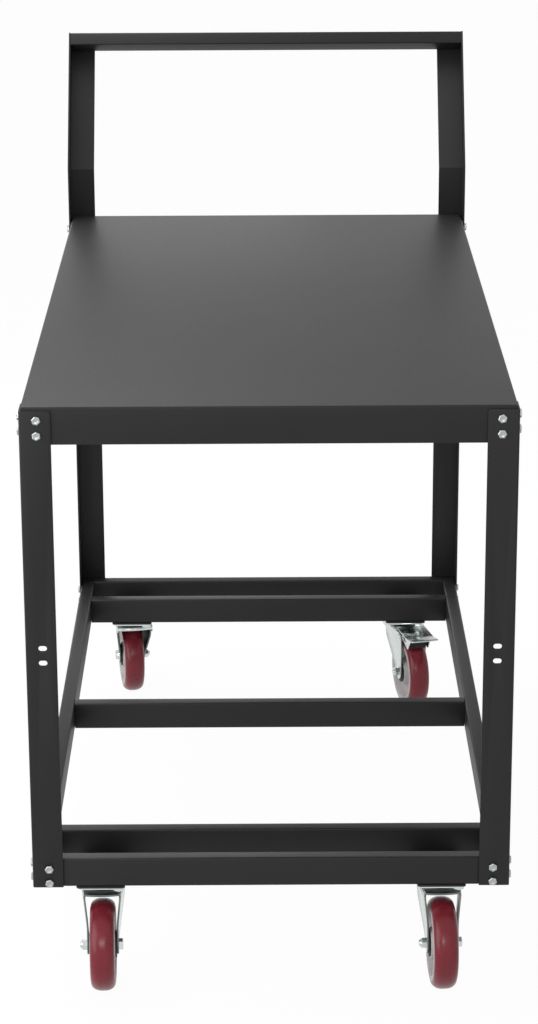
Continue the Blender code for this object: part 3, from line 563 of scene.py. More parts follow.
topSizes = {"sheet": 0.0015, "fold": 0.0025, "edge": 0.0003, "hatEdge": 0.0004}
tableTop = addBlock("tableTop", topLow, topHigh)
openMesh(tableTop)
choose("FACE", lambda face: face.normal.z < -mostly)
bpy.ops.mesh.delete(type="ONLY_FACE")
roundEdges(isFold, topSizes["fold"])
pressSheet(tableTop, topSizes)
coatSteel(tableTop, "table_top")

pickUp(frame["nodes"]["top_stiffener"])  # a copy of the CAD solid, with its edges eased
bpy.ops.object.duplicate()
stiffener = nameIt("topStiffener")
for key in list(stiffener.keys()):
    del stiffener[key]
stiffener.parent = None
mendMesh(stiffener)
easeEdges(stiffener, topSizes["hatEdge"])
coatSteel(stiffener, "top_stiffener")
print("table top done")


# Legs: folded angle with two shelf slots in each flange

legSizes = {
    "flange": 0.040, "sheet": 0.002, "bend": 0.0005, "corner": 0.004, "edge": 0.0003,
    "slotLength": 0.011, "slotWidth": 0.007, "slotInset": 0.022, "slotDrops": (0.315, 0.335),
    "slotSteps": 32, "cutterLength": 0.012,
}


def angleOutline(flangeX, flangeY, sizes):  # an angle's section, its outer corner at the origin
    sheet, bend = sizes["sheet"], sizes["bend"]
    center = (bend + sheet, bend + sheet)
    outer = arcPoints(center, bend + sheet, 180, 270, cornerSteps)
    inner = arcPoints(center, bend, 270, 180, innerSteps)
    ends = [(flangeX, 0.0), (flangeX, sheet)]
    return [(0.0, flangeY)] + outer + ends + inner + [(sheet, flangeY)]


def legFaces(corner):  # a leg's outer faces, which way they look, and its lower and upper end
    low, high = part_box("leg_" + corner)
    outX = -1 if "left" in corner else 1
    outY = -1 if "front" in corner else 1
    faceX = low.x if outX < 0 else high.x
    faceY = low.y if outY < 0 else high.y
    return faceX, faceY, outX, outY, low.z, high.z


legLow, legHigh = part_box("leg_front_left")
legLength = legHigh.z - legLow.z
legOutline = angleOutline(legSizes["flange"], legSizes["flange"], legSizes)
legPattern = drawSheet("legPattern", [(x, y, 0.0) for x, y in legOutline])
pullOut((0, 0, legLength))
turnOutwards()


def isTopCorner(edge):  # the short edge across the sheet at each flange's free top corner
    middle = (edge.verts[0].co + edge.verts[1].co) / 2
    atEnd = max(middle.x, middle.y) > legSizes["flange"] - slack
    across = edge.calc_length() < 1.5 * legSizes["sheet"]
    return atEnd and across and middle.z > legLength - slack


roundEdges(isTopCorner, legSizes["corner"])

slotWidth, slotInset = legSizes["slotWidth"], legSizes["slotInset"]
halfStep = 180.0 / legSizes["slotSteps"]  # so that no point is in the middle
clearSelection()
bpy.ops.mesh.primitive_cylinder_add(
    vertices=legSizes["slotSteps"], radius=slotWidth / 2, depth=legSizes["cutterLength"],
    rotation=(math.radians(90.0), math.radians(halfStep), 0.0))
fixPlace()
slotCutter = nameIt("slotCutter")
openMesh(slotCutter)
stretchBy = (legSizes["slotLength"] - slotWidth) / 2
for way in (1, -1):  # the round is drawn out to a slot
    choose("VERT", lambda vert: vert.co.x * way > 0)
    bpy.ops.transform.translate(value=(way * stretchBy, 0, 0))
cutters = []
for drop in legSizes["slotDrops"]:
    level = legLength - drop
    for spot, turn in (((slotInset, 0.0, level), 0.0), ((0.0, slotInset, level), 90.0)):
        cutters.append(copyPiece(slotCutter, "cutter", moved(spot) @ turned(turn)))
cutWith(legPattern, joinPieces("slotCutters", cutters))
easeEdges(legPattern, legSizes["edge"])
for corner in casterCorners:
    faceX, faceY, outX, outY, foot, head = legFaces(corner)
    place = moved((faceX, faceY, foot)) @ Matrix.Diagonal((-outX, -outY, 1, 1))
    leg = copyPiece(legPattern, "leg." + corner, place)
    mendMesh(leg)
    coatSteel(leg, "leg_" + corner)
putAway(legPattern, slotCutter)
print("legs done")


# Base frame: rectangular tubes, the outer four mitred at the corners

tubeSizes = {"corner": 0.0025, "edge": 0.0002}


def addTube(node, name, mitres=()):  # mitres: (place on the cut, direction cut away)
    low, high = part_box(node)
    tube = addBlock(name, low, high)
    along = 0 if high.x - low.x > high.y - low.y else 1
    roundAlong(tube, along, tubeSizes["corner"])
    for cutPlace, away in mitres:
        cutOff(cutPlace, away)
    mendMesh(tube)
    easeEdges(tube, tubeSizes["edge"])
    coatSteel(tube, node)


for side, inX, inY in (("front", 0, 1), ("rear", 0, -1), ("left", 1, 0), ("right", -1, 0)):
    low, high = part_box("base_rail_" + side)
    if inX:
        outer = low.x if inX > 0 else high.x
        cuts = [((outer, low.y, low.z), (inX, -1, 0)), ((outer, high.y, low.z), (inX, 1, 0))]
    else:
        outer = low.y if inY > 0 else high.y
        cuts = [((low.x, outer, low.z), (-1, inY, 0)), ((high.x, outer, low.z), (1, inY, 0))]
    addTube("base_rail_" + side, "baseRail." + side, cuts)
addTube("base_rail_front_inner", "baseRail.frontInner")
addTube("base_rail_rear_inner", "baseRail.rearInner")
addTube("base_rail_center", "baseRail.center")
print("base frame done")


# Handle: two folded angles, leaning back from a mitred crease, and a bar between their tops

handleSizes = {
    "rearFlange": 0.040, "sideFlange": 0.034, "sheet": 0.0025, "bend": 0.0005,
    "crease": 0.074,  # above the work surface, on the rear face
    "arm": 0.218, "lean": 30.0, "spare": 0.05,  # drawn past each cut
    "edge": 0.0003, "smooth": 25.0, "barHeight": 0.020, "barCorner": 0.0025,
}
lean = math.radians(handleSizes["lean"])
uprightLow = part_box("handle_upright_left")[0]
workLevel = topHigh.z
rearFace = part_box("leg_rear_left")[1].y + gap + handleSizes["sheet"]
uprightOutline = angleOutline(handleSizes["rearFlange"], handleSizes["sideFlange"], handleSizes)
footLevel = uprightLow.z - workLevel
uprightPattern = drawSheet(
    "uprightPattern", [(x, -ahead, footLevel) for x, ahead in uprightOutline])
pullOut((0, 0, handleSizes["crease"] + handleSizes["spare"] - footLevel))
creasePlace = Vector((0, 0, handleSizes["crease"]))
cutOff(creasePlace, (0, math.sin(lean / 2), math.cos(lean / 2)))
turnOutwards()
choose("FACE", lambda face: face.normal.z > mostly)
armWay = Vector((0, math.sin(lean), math.cos(lean)))
pullOut(armWay * (handleSizes["arm"] + handleSizes["spare"]))
cutOff(creasePlace + armWay * handleSizes["arm"], armWay)
mendMesh(uprightPattern)
easeEdges(uprightPattern, handleSizes["edge"])
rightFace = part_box("handle_upright_right")[1].x
for side, faceX, flip in (("left", uprightLow.x, 1), ("right", rightFace, -1)):
    place = moved((faceX, rearFace, workLevel)) @ Matrix.Diagonal((flip, 1, 1, 1))
    upright = copyPiece(uprightPattern, "handleUpright." + side, place)
    coatSteel(upright, "handle_upright_" + side, smooth=handleSizes["smooth"])
putAway(uprightPattern)

barLow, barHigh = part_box("handle_bar")
barDepth = handleSizes["sideFlange"] - handleSizes["sheet"] - gap
barHalf = Vector((barHigh.x - barLow.x, barDepth, handleSizes["barHeight"])) / 2
handleBar = addBlock("handleBar", -barHalf, barHalf)
roundAlong(handleBar, 0, handleSizes["barCorner"])
easeEdges(handleBar, handleSizes["edge"])
setDown(handleBar, moved((barLow + barHigh) / 2) @ turned(-handleSizes["lean"], "X"))
coatSteel(handleBar, "handle_bar")
print("handle done")


# Leg bolts with indented hex heads, and the nuts on washers inside

boltSizes = {
    "across": 0.010, "head": 0.0032, "chamfer": 0.0006, "chamferRun": 1.7, "smooth": 25.0,
    "dish": 0.0033, "dishDepth": 0.0007, "dishSteps": 24,  # the dent that cold heading leaves
    "face": 0.0098, "faceSheet": 0.0005, "faceEdge": 0.0002,  # the washer face under the head
    "washer": 0.0125, "washerSheet": 0.001, "washerEdge": 0.0003,
    "nut": 0.005, "nutTip": 0.0025, "tipSunk": 0.001, "thread": 0.006,
    "discSteps": 32, "tipSteps": 20,
    "inset": 0.022,  # from the leg's outer corner
    "topDrops": (0.0115, 0.0315), "footRises": (0.0065, 0.0265),
    "firstTurn": 17.0, "levelTurn": 23.0, "boltTurn": 11.0,  # degrees, as a spanner left them
}


def addHexagon(name, across, low, high, chamfer):  # along Z, its upper end chamfered
    corner = across / math.sqrt(3)
    piece = addRound(name, 6, corner, low, high)
    openMesh(piece)
    choose("FACE", lambda face: face.normal.z > squarely)
    bpy.ops.mesh.inset(thickness=chamfer * boltSizes["chamferRun"])
    choose("VERT", lambda vert: vert.co.z > high - slack / 10
           and vert.co.xy.length > corner - slack / 10)
    bpy.ops.transform.translate(value=(0, 0, -chamfer))
    closeMesh()
    return piece


def addDisc(name, radius, low, high, edge, steps=boltSizes["discSteps"]):  # along Z, rims eased
    piece = addRound(name, steps, radius, low, high)
    easeEdges(piece, edge)
    return piece


faceTop = boltSizes["faceSheet"]
headTop = faceTop + boltSizes["head"]
hexHead = addHexagon("head", boltSizes["across"], faceTop, headTop, boltSizes["chamfer"])
dishDepth = boltSizes["dishDepth"]
dishRadius = (boltSizes["dish"] ** 2 + dishDepth ** 2) / (2 * dishDepth)
clearSelection()
bpy.ops.mesh.primitive_uv_sphere_add(
    segments=boltSizes["dishSteps"], ring_count=2 * boltSizes["dishSteps"],
    radius=dishRadius, location=(0, 0, headTop + dishRadius - dishDepth))
cutWith(hexHead, nameIt("dishBall"))
washerFace = addDisc("washerFace", boltSizes["face"] / 2, 0.0, faceTop, boltSizes["faceEdge"])
legBolt = joinPieces("legBolt", [washerFace, hexHead])
washerTop = boltSizes["washerSheet"]
nutTop = washerTop + boltSizes["nut"]
legNut = joinPieces("legNut", [
    addDisc("washer", boltSizes["washer"] / 2, 0.0, washerTop, boltSizes["washerEdge"]),
    addHexagon("nut", boltSizes["across"], washerTop, nutTop, boltSizes["chamfer"]),
    addDisc("tip", boltSizes["thread"] / 2, nutTop - boltSizes["tipSunk"],
            nutTop + boltSizes["nutTip"], boltSizes["chamfer"], boltSizes["tipSteps"]),
])


def facing(direction):  # turns a fastener's Z to face a way
    return Vector(direction).to_track_quat("Z", "Y").to_matrix().to_4x4()


boltCount = 0
inset = boltSizes["inset"]
for corner in casterCorners:
    faceX, faceY, outX, outY, foot, head = legFaces(corner)
    levels = [(head - drop, True) for drop in boltSizes["topDrops"]]
    levels += [(foot + rise, False) for rise in boltSizes["footRises"]]
    bolts, nuts = [], []
    for index, (level, atTop) in enumerate(levels):
        behind = atTop and outY > 0  # through the handle too
        outside = handleSizes["sheet"] + gap if behind else 0.0
        turn = boltSizes["firstTurn"] + boltSizes["levelTurn"] * index
        spin = turned(turn + boltSizes["boltTurn"] * boltCount)
        for spot, way in (((faceX - outX * inset, faceY + outY * outside, level), (0, outY, 0)),
                          ((faceX + outX * outside, faceY - outY * inset, level), (outX, 0, 0))):
            spot, way = Vector(spot), Vector(way)
            boltCount += 1
            bolts.append(copyPiece(legBolt, "bolt", moved(spot) @ facing(way) @ spin))
            if atTop:  # the nut is inside the apron; the foot bolts go into nuts inside the tube
                through = legSizes["sheet"] + gap + topSizes["sheet"] + outside
                place = moved(spot - way * through) @ facing(-way) @ spin
                nuts.append(copyPiece(legNut, "nut", place))
    for name, fasteners in (("legBolts.", bolts), ("legNuts.", nuts)):
        handOver(joinPieces(name + corner, fasteners), dullZinc, "table",
                 smooth=boltSizes["smooth"])
putAway(legNut)  # the bolt is copied once more, under the caster plates
print("leg bolts done,", boltCount)


# Caster pads

padSizes = {"corner": 0.004, "edge": 0.0004}


def addPlate(name, low, high, corner, edge):
    plate = addBlock(name, low, high)
    roundAlong(plate, 2, corner, cornerSteps)
    easeEdges(plate, edge)
    return plate


for corner in casterCorners:
    low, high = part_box("caster_pad_" + corner)
    pad = addPlate("casterPad." + corner, low, high, padSizes["corner"], padSizes["edge"])
    coatSteel(pad, "caster_pad_" + corner)
print("caster pads done")


# Casters, each drawn about its swivel axis: the origin under its pad, its trail along -Y

casterSizes = {
    "trail": 0.041, "axle": -0.0875,  # the wheel's axis from the swivel axis and below the pad
    "plateWidth": 0.062, "plateLength": 0.104, "plateSheet": 0.003,
    "plateCorner": 0.008, "plateEdge": 0.0005, "bore": 0.0062, "steps": 56,
    "cup": 0.054, "cupDepth": 0.006, "cupDraft": 0.002,
    "cupLip": ((0.001, 0.0015), (0.0, 0.001), (-0.001, 0.0)),  # up from the plate, and out
    "cupFoot": ((0.0012, 0.0004), (0.0, -0.001)),  # up from the bottom, and out
    "race": 0.048, "raceTop": -0.0097, "raceBottom": -0.0142,
    "raceRound": ((0.0, 0.0012), (0.0004, 0.0003), (0.0012, 0.0)),  # in from the end and the side
    "boltSide": 0.0232, "boltAhead": 0.042, "boltSize": 1.3,  # two M8 bolts, 1.3 times the M6
}
trail, axleLevel = casterSizes["trail"], casterSizes["axle"]
axlePlace = moved((0, -trail, axleLevel))


def casterPlace(corner):
    swivel, axle = joints["swivel_" + corner], joints["roll_" + corner]
    turn = math.atan2(axle["axis"][1], axle["axis"][0])
    return moved(swivel["pos_m"]) @ Matrix.Rotation(turn, 4, "Z")


def fitToCasters(pattern, name, finish, body, node="", local=Matrix(),
                 corners=casterCorners, smooth=smoothUnder):  # the pattern is used up
    for corner in corners:
        piece = copyPiece(pattern, name + corner, casterPlace(corner) @ local)
        handOver(piece, finish, body + corner, node and node + corner, smooth)
    putAway(pattern)


def spinUpright(name, profile):  # profile of (level, radius), spun about Z
    piece = spinPiece(name, profile, casterSizes["steps"])
    setDown(piece, turned(-90.0, "Y"))
    mendMesh(piece)
    return piece


plateTop = -gap
plateBottom = plateTop - casterSizes["plateSheet"]
halfX, halfY = casterSizes["plateWidth"] / 2, casterSizes["plateLength"] / 2
flatPlate = addPlate("flatPlate", (-halfX, -halfY, plateBottom), (halfX, halfY, plateTop),
                     casterSizes["plateCorner"], casterSizes["plateEdge"])
bore, cupRadius = casterSizes["bore"], casterSizes["cup"] / 2
cupBottom = plateBottom - casterSizes["cupDepth"]
cupFoot = cupRadius - casterSizes["cupDraft"]
cupProfile = [(plateBottom + up, cupRadius + out) for up, out in casterSizes["cupLip"]]
cupProfile += [(cupBottom + up, cupFoot + out) for up, out in casterSizes["cupFoot"]]
cupProfile += [(cupBottom, bore), (cupProfile[0][0], bore)]
platePattern = joinPieces("platePattern", [flatPlate, spinUpright("cup", cupProfile)])

raceRadius, raceRound = casterSizes["race"] / 2, casterSizes["raceRound"]
raceTop, raceBottom = casterSizes["raceTop"], casterSizes["raceBottom"]
raceProfile = [(raceTop - end, raceRadius - side) for end, side in raceRound]
raceProfile += [(raceBottom + end, raceRadius - side) for end, side in reversed(raceRound)]
raceProfile += [(raceBottom, bore), (raceTop, bore)]
racePattern = spinUpright("racePattern", raceProfile)
for corner in casterCorners:
    axis = moved(joints["swivel_" + corner]["pos_m"])
    plate = copyPiece(platePattern, "casterPlate." + corner, axis)
    handOver(plate, brightZinc, "table", "caster_plate_" + corner)
    held = []
    for way in (1, -1):  # a bolt at each end of a diagonal
        spot = (way * casterSizes["boltSide"], -way * casterSizes["boltAhead"], plateBottom)
        place = axis @ moved(spot) @ facing((0, 0, -1)) @ Matrix.Scale(casterSizes["boltSize"], 4)
        held.append(copyPiece(legBolt, "bolt", place))
    handOver(joinPieces("plateBolts." + corner, held), brightZinc, "table",
             smooth=boltSizes["smooth"])
# the races' dark steel is painted shade for the gap under the plate
fitToCasters(racePattern, "swivelRace.", raceSteelPaintedShade, "swivel_", "swivel_bearing_")
putAway(platePattern, legBolt)
print("caster plates and races done")


# Forks: a pressed hood, open in front over the wheel, and two cheeks that close in on the axle

forkSizes = {
    "sheet": 0.0025, "edge": 0.0003, "hoodWidth": 0.059, "hoodFront": 0.042, "hoodBack": 0.029,
    "hoodTop": -0.0145, "hoodHeight": 0.010, "hoodCorner": 0.008, "cornerSweep": 78.0,
    "bulge": 0.003, "frontSteps": 10, "backSteps": 8, "backRise": 0.0052, "hoodBend": 0.0025,
    "frontLevel": 0.003, "tuck": 0.00005,  # the hood's front, just inside the cheeks
    "cheekBack": 0.006, "cheekEnd": 0.013, "shoulder": 0.013, "shoulderRadius": 0.006,
    "cheekCorner": 0.0025, "cheekPast": 0.0004,  # past the hood's front
    "lobe": 0.0065, "pinReach": 0.052, "pinLevel": -0.0223,
    "foldSlope": 0.8, "foldRadius": 0.006, "flatMargin": 0.001, "axleSpan": 0.042,
    "pin": 0.006, "pinHead": 0.010, "pinHeadHeight": 0.002, "pinSunk": 0.001, "pinSteps": 28,
    "pinDome": ((0.0, 0.0), (0.0, 0.45), (0.0006, 0.85), (0.0014, 1.0)),  # back from its end, width
}
hoodTop = forkSizes["hoodTop"]
hoodBottom = hoodTop - forkSizes["hoodHeight"]
foldSlope, cheekBack = forkSizes["foldSlope"], forkSizes["cheekBack"]
pinReach, pinLevel = forkSizes["pinReach"], forkSizes["pinLevel"]


def pastFold(ahead, level):  # past the slanting fold, read at the hood's bottom
    return ahead + foldSlope * (hoodBottom - level)


lastFold = pastFold(trail, axleLevel) - math.hypot(1, foldSlope) * forkSizes["cheekEnd"]
lastFold -= forkSizes["flatMargin"]


def cheekFace(ahead, level):  # from the middle of the fork
    share = (pastFold(ahead, level) + cheekBack) / (lastFold + cheekBack)
    closing = (forkSizes["hoodWidth"] - forkSizes["axleSpan"]) / 2
    return forkSizes["hoodWidth"] / 2 - closing * min(1.0, share)


def bowed(fromPoint, toPoint, bulge, steps):  # points of a shallow bow, the ends left out
    points = []
    for step in range(1, steps):
        share = step / steps
        x = fromPoint[0] + (toPoint[0] - fromPoint[0]) * share
        points.append((x, fromPoint[1] + bulge * (1 - (2 * share - 1) ** 2)))
    return points


hoodSide, hoodCorner = forkSizes["hoodWidth"] / 2, forkSizes["hoodCorner"]
hoodFront, hoodBack = -forkSizes["hoodFront"], forkSizes["hoodBack"]
bulge, sweep = forkSizes["bulge"], forkSizes["cornerSweep"]
frontSide = cheekFace(-hoodFront, hoodBottom + forkSizes["frontLevel"]) - forkSizes["tuck"]
cornerX, cornerY = hoodSide - hoodCorner, hoodBack - hoodCorner
frontLeft, frontRight = (-frontSide, hoodFront), (frontSide, hoodFront)
backLeft, backRight = (-cornerX, hoodBack), (cornerX, hoodBack)
hoodOutline = [frontLeft] + bowed(frontLeft, frontRight, -bulge, forkSizes["frontSteps"])
hoodOutline += [frontRight, (hoodSide, cheekBack)]
hoodOutline += arcPoints((cornerX, cornerY), hoodCorner, 0, sweep, cornerSteps)
hoodOutline += bowed(backRight, backLeft, bulge, forkSizes["backSteps"])
hoodOutline += arcPoints((-cornerX, cornerY), hoodCorner, 180 - sweep, 180, cornerSteps)
hoodOutline += [(-hoodSide, cheekBack)]
hood = drawSheet("hood", [(x, y, hoodTop) for x, y in hoodOutline])
pullOut((0, 0, -forkSizes["hoodHeight"]))
turnOutwards()
choose("FACE", lambda face: face.normal.z < -mostly or face.normal.y < -mostly)
bpy.ops.mesh.delete(type="ONLY_FACE")
choose("EDGE", lambda edge: len(edge.link_faces) == 0)
bpy.ops.mesh.delete(type="EDGE")
chooseAll()
backRun = hoodBack + bulge - cheekBack
bpy.ops.mesh.bisect(plane_co=(0, cheekBack, hoodBottom), clear_outer=True,
                    plane_no=(0, forkSizes["backRise"], -backRun))  # the skirt rises to the back
roundEdges(lambda edge: isFold(edge) and min(v.co.z for v in edge.verts) > hoodTop - slack,
           forkSizes["hoodBend"])
closeMesh()
# the inner faces take the dark zinc: painted shade and painted dark reflection
# the rims take darker zinc: partly torn edge, partly painted shade
forkFinishes = (brightZinc, shearedZincAndShade, paintedShadeZinc)
giveFinishes(hood, *forkFinishes)
pressSheet(hood, forkSizes)
openMesh(hood)
# the hood's upward faces also take the painted-shade zinc
choose("FACE", lambda face: face.normal.z > squarely)
hood.active_material_index = forkFinishes.index(paintedShadeZinc)
bpy.ops.object.material_slot_assign()
closeMesh()


def addFork(name, frontCircle):  # the circle is at the cheeks' top front corner
    shoulder = forkSizes["shoulderRadius"]
    outline = beltPoints([
        (-cheekBack, hoodTop - forkSizes["hoodBend"], 0.0),
        (shoulder - cheekBack, hoodBottom - forkSizes["shoulder"], shoulder),
        (trail, axleLevel, forkSizes["cheekEnd"]),
        frontCircle,
    ])
    cheek = drawSheet("cheek", [(0.0, -ahead, level) for ahead, level in outline])
    bpy.ops.mesh.bisect(plane_co=(0, -lastFold, hoodBottom), plane_no=(0, -1, -foldSlope))
    for vert in bmesh.from_edit_mesh(cheek.data).verts:  # fold the sheet in towards the wheel
        vert.co.x = cheekFace(-vert.co.y, vert.co.z)
    bmesh.update_edit_mesh(cheek.data)
    roundEdges(isFold, forkSizes["foldRadius"])
    faceSheet(cheek, (1, 0, 0))
    giveFinishes(cheek, *forkFinishes)
    pressSheet(cheek, forkSizes)
    otherCheek = copyPiece(cheek, "otherCheek", Matrix.Diagonal((-1, 1, 1, 1)))
    crown = copyPiece(hood, "crown", Matrix.Identity(4))
    return joinPieces(name, [crown, cheek, otherCheek])


def addPin(name, side, place):  # half a pin's profile, spun with its mirror image
    pin = spinPiece(name, side + mirrored(side), forkSizes["pinSteps"], closed=False)
    setDown(pin, moved(place))
    return pin


cheekCorner = forkSizes["cheekCorner"]
cheekFront = forkSizes["cheekPast"] - hoodFront - cheekCorner
plainFork = addFork("plainFork", (cheekFront, hoodBottom + cheekCorner, cheekCorner))
brakedFork = addFork("brakedFork", (pinReach, pinLevel, forkSizes["lobe"]))

pinFace, pinHead = cheekFace(pinReach, pinLevel), forkSizes["pinHead"] / 2
pinEnd = pinFace + forkSizes["pinHeadHeight"]
pinNeck = pinFace - forkSizes["pinSunk"]
pinSide = [(pinEnd - back, pinHead * width) for back, width in forkSizes["pinDome"]]
pinSide += [(pinNeck, pinHead), (pinNeck, forkSizes["pin"] / 2)]
brakePin = addPin("brakePin", pinSide, (0, -pinReach, pinLevel))
giveFinishes(brakePin, *forkFinishes)
brakedFork = joinPieces("brakedFork", [brakedFork, brakePin])
for pattern, corners in ((plainFork, plainCorners), (brakedFork, brakedCorners)):
    fitToCasters(pattern, "fork.", None, "swivel_", "fork_", corners=corners)
putAway(hood)
print("forks done")


# Wheels: a maroon tread cast on a grey core, and a black thread guard on each side of the hub

wheelSizes = {
    "radius": 0.061, "width": 0.032, "treadDepth": 0.0095, "crown": 0.0004, "steps": 96,
    "shoulder": 0.009, "shoulderWidth": 0.0135, "shoulderSteps": 12, "smooth": 50.0,
    "rimHalf": 0.0165, "rimDepth": 0.008, "hub": 0.021, "hubHalf": 0.0162, "bore": 0.0074,
    "webHalf": 0.006,
    # the core's mouldings: out from a face and out from a radius
    "boreRound": ((-0.0006, 0.0), (0.0, 0.0006)),
    "hubRound": ((0.0, -0.0012), (-0.0004, -0.0003), (-0.0013, 0.0)),
    "hubFillet": ((0.0035, 0.0012), (0.001, 0.0026), (0.0, 0.005)),
    "webRing": ((0.0, 0.009), (0.0007, 0.0096), (0.0007, 0.0116), (0.0, 0.0122)),
    "rimFillet": ((0.0, -0.005), (0.001, -0.0024), (0.0035, -0.001)),
    "rimRound": ((-0.0016, 0.0004), (-0.0004, 0.0012), (0.0, 0.0022)),
    "rimEdge": ((0.0, -0.0012), (-0.0004, 0.0)),
    "guard": 0.0182, "guardBore": 0.0078, "guardInner": 0.0164, "guardOuter": 0.0181,
    "guardEdge": (0.0003, 0.0008), "guardSteps": 64,
}
wheelRadius, halfWidth = wheelSizes["radius"], wheelSizes["width"] / 2
bond = wheelRadius - wheelSizes["treadDepth"]
treadSide = [(halfWidth, bond)]
for step in range(wheelSizes["shoulderSteps"] + 1):  # from the side up to the crown
    angle = math.radians(90.0 * step / wheelSizes["shoulderSteps"])
    along = halfWidth - wheelSizes["shoulderWidth"] * (1 - math.cos(angle))
    fall = wheelSizes["crown"] * (along / halfWidth) ** 2
    fall += wheelSizes["shoulder"] * (1 - math.sin(angle))
    treadSide.append((along, wheelRadius - fall))
treadProfile = treadSide + [(0.0, wheelRadius)] + mirrored(treadSide)
treadPattern = spinPiece("treadPattern", treadProfile, wheelSizes["steps"])

rim, rimHalf = bond - gap, wheelSizes["rimHalf"]
rimInner, webHalf = rim - wheelSizes["rimDepth"], wheelSizes["webHalf"]
hub, hubHalf = wheelSizes["hub"], wheelSizes["hubHalf"]
coreSide = []
for part, face, radius in (
        ("boreRound", hubHalf, wheelSizes["bore"]), ("hubRound", hubHalf, hub),
        ("hubFillet", webHalf, hub), ("webRing", webHalf, hub), ("rimFillet", webHalf, rimInner),
        ("rimRound", rimHalf, rimInner), ("rimEdge", rimHalf, rim)):
    coreSide += [(face + along, radius + out) for along, out in wheelSizes[part]]
corePattern = spinPiece("corePattern", coreSide + mirrored(coreSide), wheelSizes["steps"])

guardIn, guardOut = wheelSizes["guardInner"], wheelSizes["guardOuter"]
guardRadius, guardBore = wheelSizes["guard"], wheelSizes["guardBore"]
edgeAlong, edgeIn = wheelSizes["guardEdge"]
guardProfile = [(guardIn, guardBore), (guardOut, guardBore), (guardOut, guardRadius - edgeIn)]
guardProfile += [(guardOut - edgeAlong, guardRadius), (guardIn, guardRadius)]
guardPattern = joinPieces("guardPattern", [
    spinPiece("guard", side, wheelSizes["guardSteps"])
    for side in (guardProfile, mirrored(guardProfile))
])
fitToCasters(treadPattern, "wheelTread.", maroonPolyurethane, "wheel_",
             "wheel_tread_", axlePlace, smooth=wheelSizes["smooth"])
fitToCasters(corePattern, "wheelCore.", greyPolypropylene, "wheel_",
             "wheel_core_", axlePlace)
fitToCasters(guardPattern, "threadGuards.", blackRubber, "swivel_", local=axlePlace)
print("wheels done")


# Axle bolt and its lock nut, with a collar for the locking ring

axleSizes = {
    "across": 0.013, "head": 0.0053, "nut": 0.008, "chamfer": 0.0008, "shank": 0.008,
    "shankEdge": 0.0003, "tip": 0.0015, "tipSunk": 0.002, "steps": 28,
    "collar": 0.0108, "collarHeight": 0.0014, "collarEdge": 0.0006, "collarSteps": 40,
    "lap": 0.001,  # of one round into the next
    "firstTurn": 12.0, "cornerTurn": 19.0,  # degrees, as a spanner left them
}
across, chamfer, lap = axleSizes["across"], axleSizes["chamfer"], axleSizes["lap"]
shankRadius, axleSteps = axleSizes["shank"] / 2, axleSizes["steps"]
cheekOut = forkSizes["axleSpan"] / 2
seat = cheekOut + gap
nutEnd = seat + axleSizes["nut"]
collarStart = nutEnd - axleSizes["collarHeight"]
axleHead = addHexagon("axleHead", across, cheekOut, seat + axleSizes["head"], chamfer)
axleTip = addDisc("axleTip", shankRadius, nutEnd - axleSizes["tipSunk"],
                  nutEnd + axleSizes["tip"], chamfer, axleSteps)
axleShank = addDisc("axleShank", shankRadius, -seat - lap, seat + lap, axleSizes["shankEdge"],
                    axleSteps)
lockNut = joinPieces("lockNut", [
    addHexagon("nut", across, cheekOut, collarStart, chamfer),
    addDisc("collar", axleSizes["collar"] / 2, collarStart - lap, nutEnd,
            axleSizes["collarEdge"], axleSizes["collarSteps"]),
])
for index, corner in enumerate(casterCorners):
    place = casterPlace(corner) @ axlePlace
    toRight, toLeft = place @ turned(90.0, "Y"), place @ turned(-90.0, "Y")
    spin = turned(axleSizes["firstTurn"] + axleSizes["cornerTurn"] * index)
    bolt = joinPieces("axleBolt." + corner, [
        copyPiece(axleHead, "head", toRight @ spin),
        copyPiece(axleTip, "tip", toLeft),
        copyPiece(axleShank, "shank", toRight),
    ])
    nut = copyPiece(lockNut, "axleNut." + corner, toLeft @ spin)
    for piece, node in ((bolt, "axle_bolt_" + corner), (nut, "axle_nut_" + corner)):
        handOver(piece, brightZinc, "swivel_" + corner, node, boltSizes["smooth"])
putAway(axleHead, axleTip, lockNut, axleShank)
print("axles done")


# Brakes: a pressed pedal on the fork's pin, and a rubber shoe riveted between its ears

pedalSizes = {
    "sheet": 0.002, "edge": 0.0003, "width": 0.046, "back": 0.033, "backCorner": 0.002,
    "tip": 0.121, "lip": 0.030, "lipRise": 10.0, "lipBend": 0.006, "corner": 0.004,
    "cornerDegrees": 15.0, "lift": 0.0004,
    "earSpan": 0.036, "earEnd": 0.0055, "earBack": 0.007, "earFront": 0.044,
    "heelReach": 0.0790, "heelLevel": -0.0285, "heel": 0.0068,
    "press": 7.0, "shoeStart": 15.0, "shoeEnd": 38.0, "shoeSteps": 10,  # degrees
    "shoeGap": 0.001, "shoeWidth": 0.028, "shoeEdge": 0.0008,
    "rivetReach": 0.0735, "rivetLevel": -0.0268, "rivet": 0.0080, "rivetShank": 0.004,
    "rivetDome": (  # out from the ear, width
        (0.0018, 0.0), (0.0017, 0.45), (0.0012, 0.8), (0.0003, 1.0), (-0.0004, 1.0)),
}
underPedal = hoodTop + pedalSizes["lift"]
pedalTop = underPedal + pedalSizes["sheet"]
halfPedal, pedalCorner = pedalSizes["width"] / 2, pedalSizes["corner"]
backCorner = pedalSizes["backCorner"]
lipRise = math.radians(pedalSizes["lipRise"])
bendAt = pedalSizes["tip"] - pedalSizes["lip"] * math.cos(lipRise)
tipCircle = -bendAt - pedalSizes["lip"] + pedalCorner  # before the lip is turned up
backCircle = -pedalSizes["back"] - backCorner
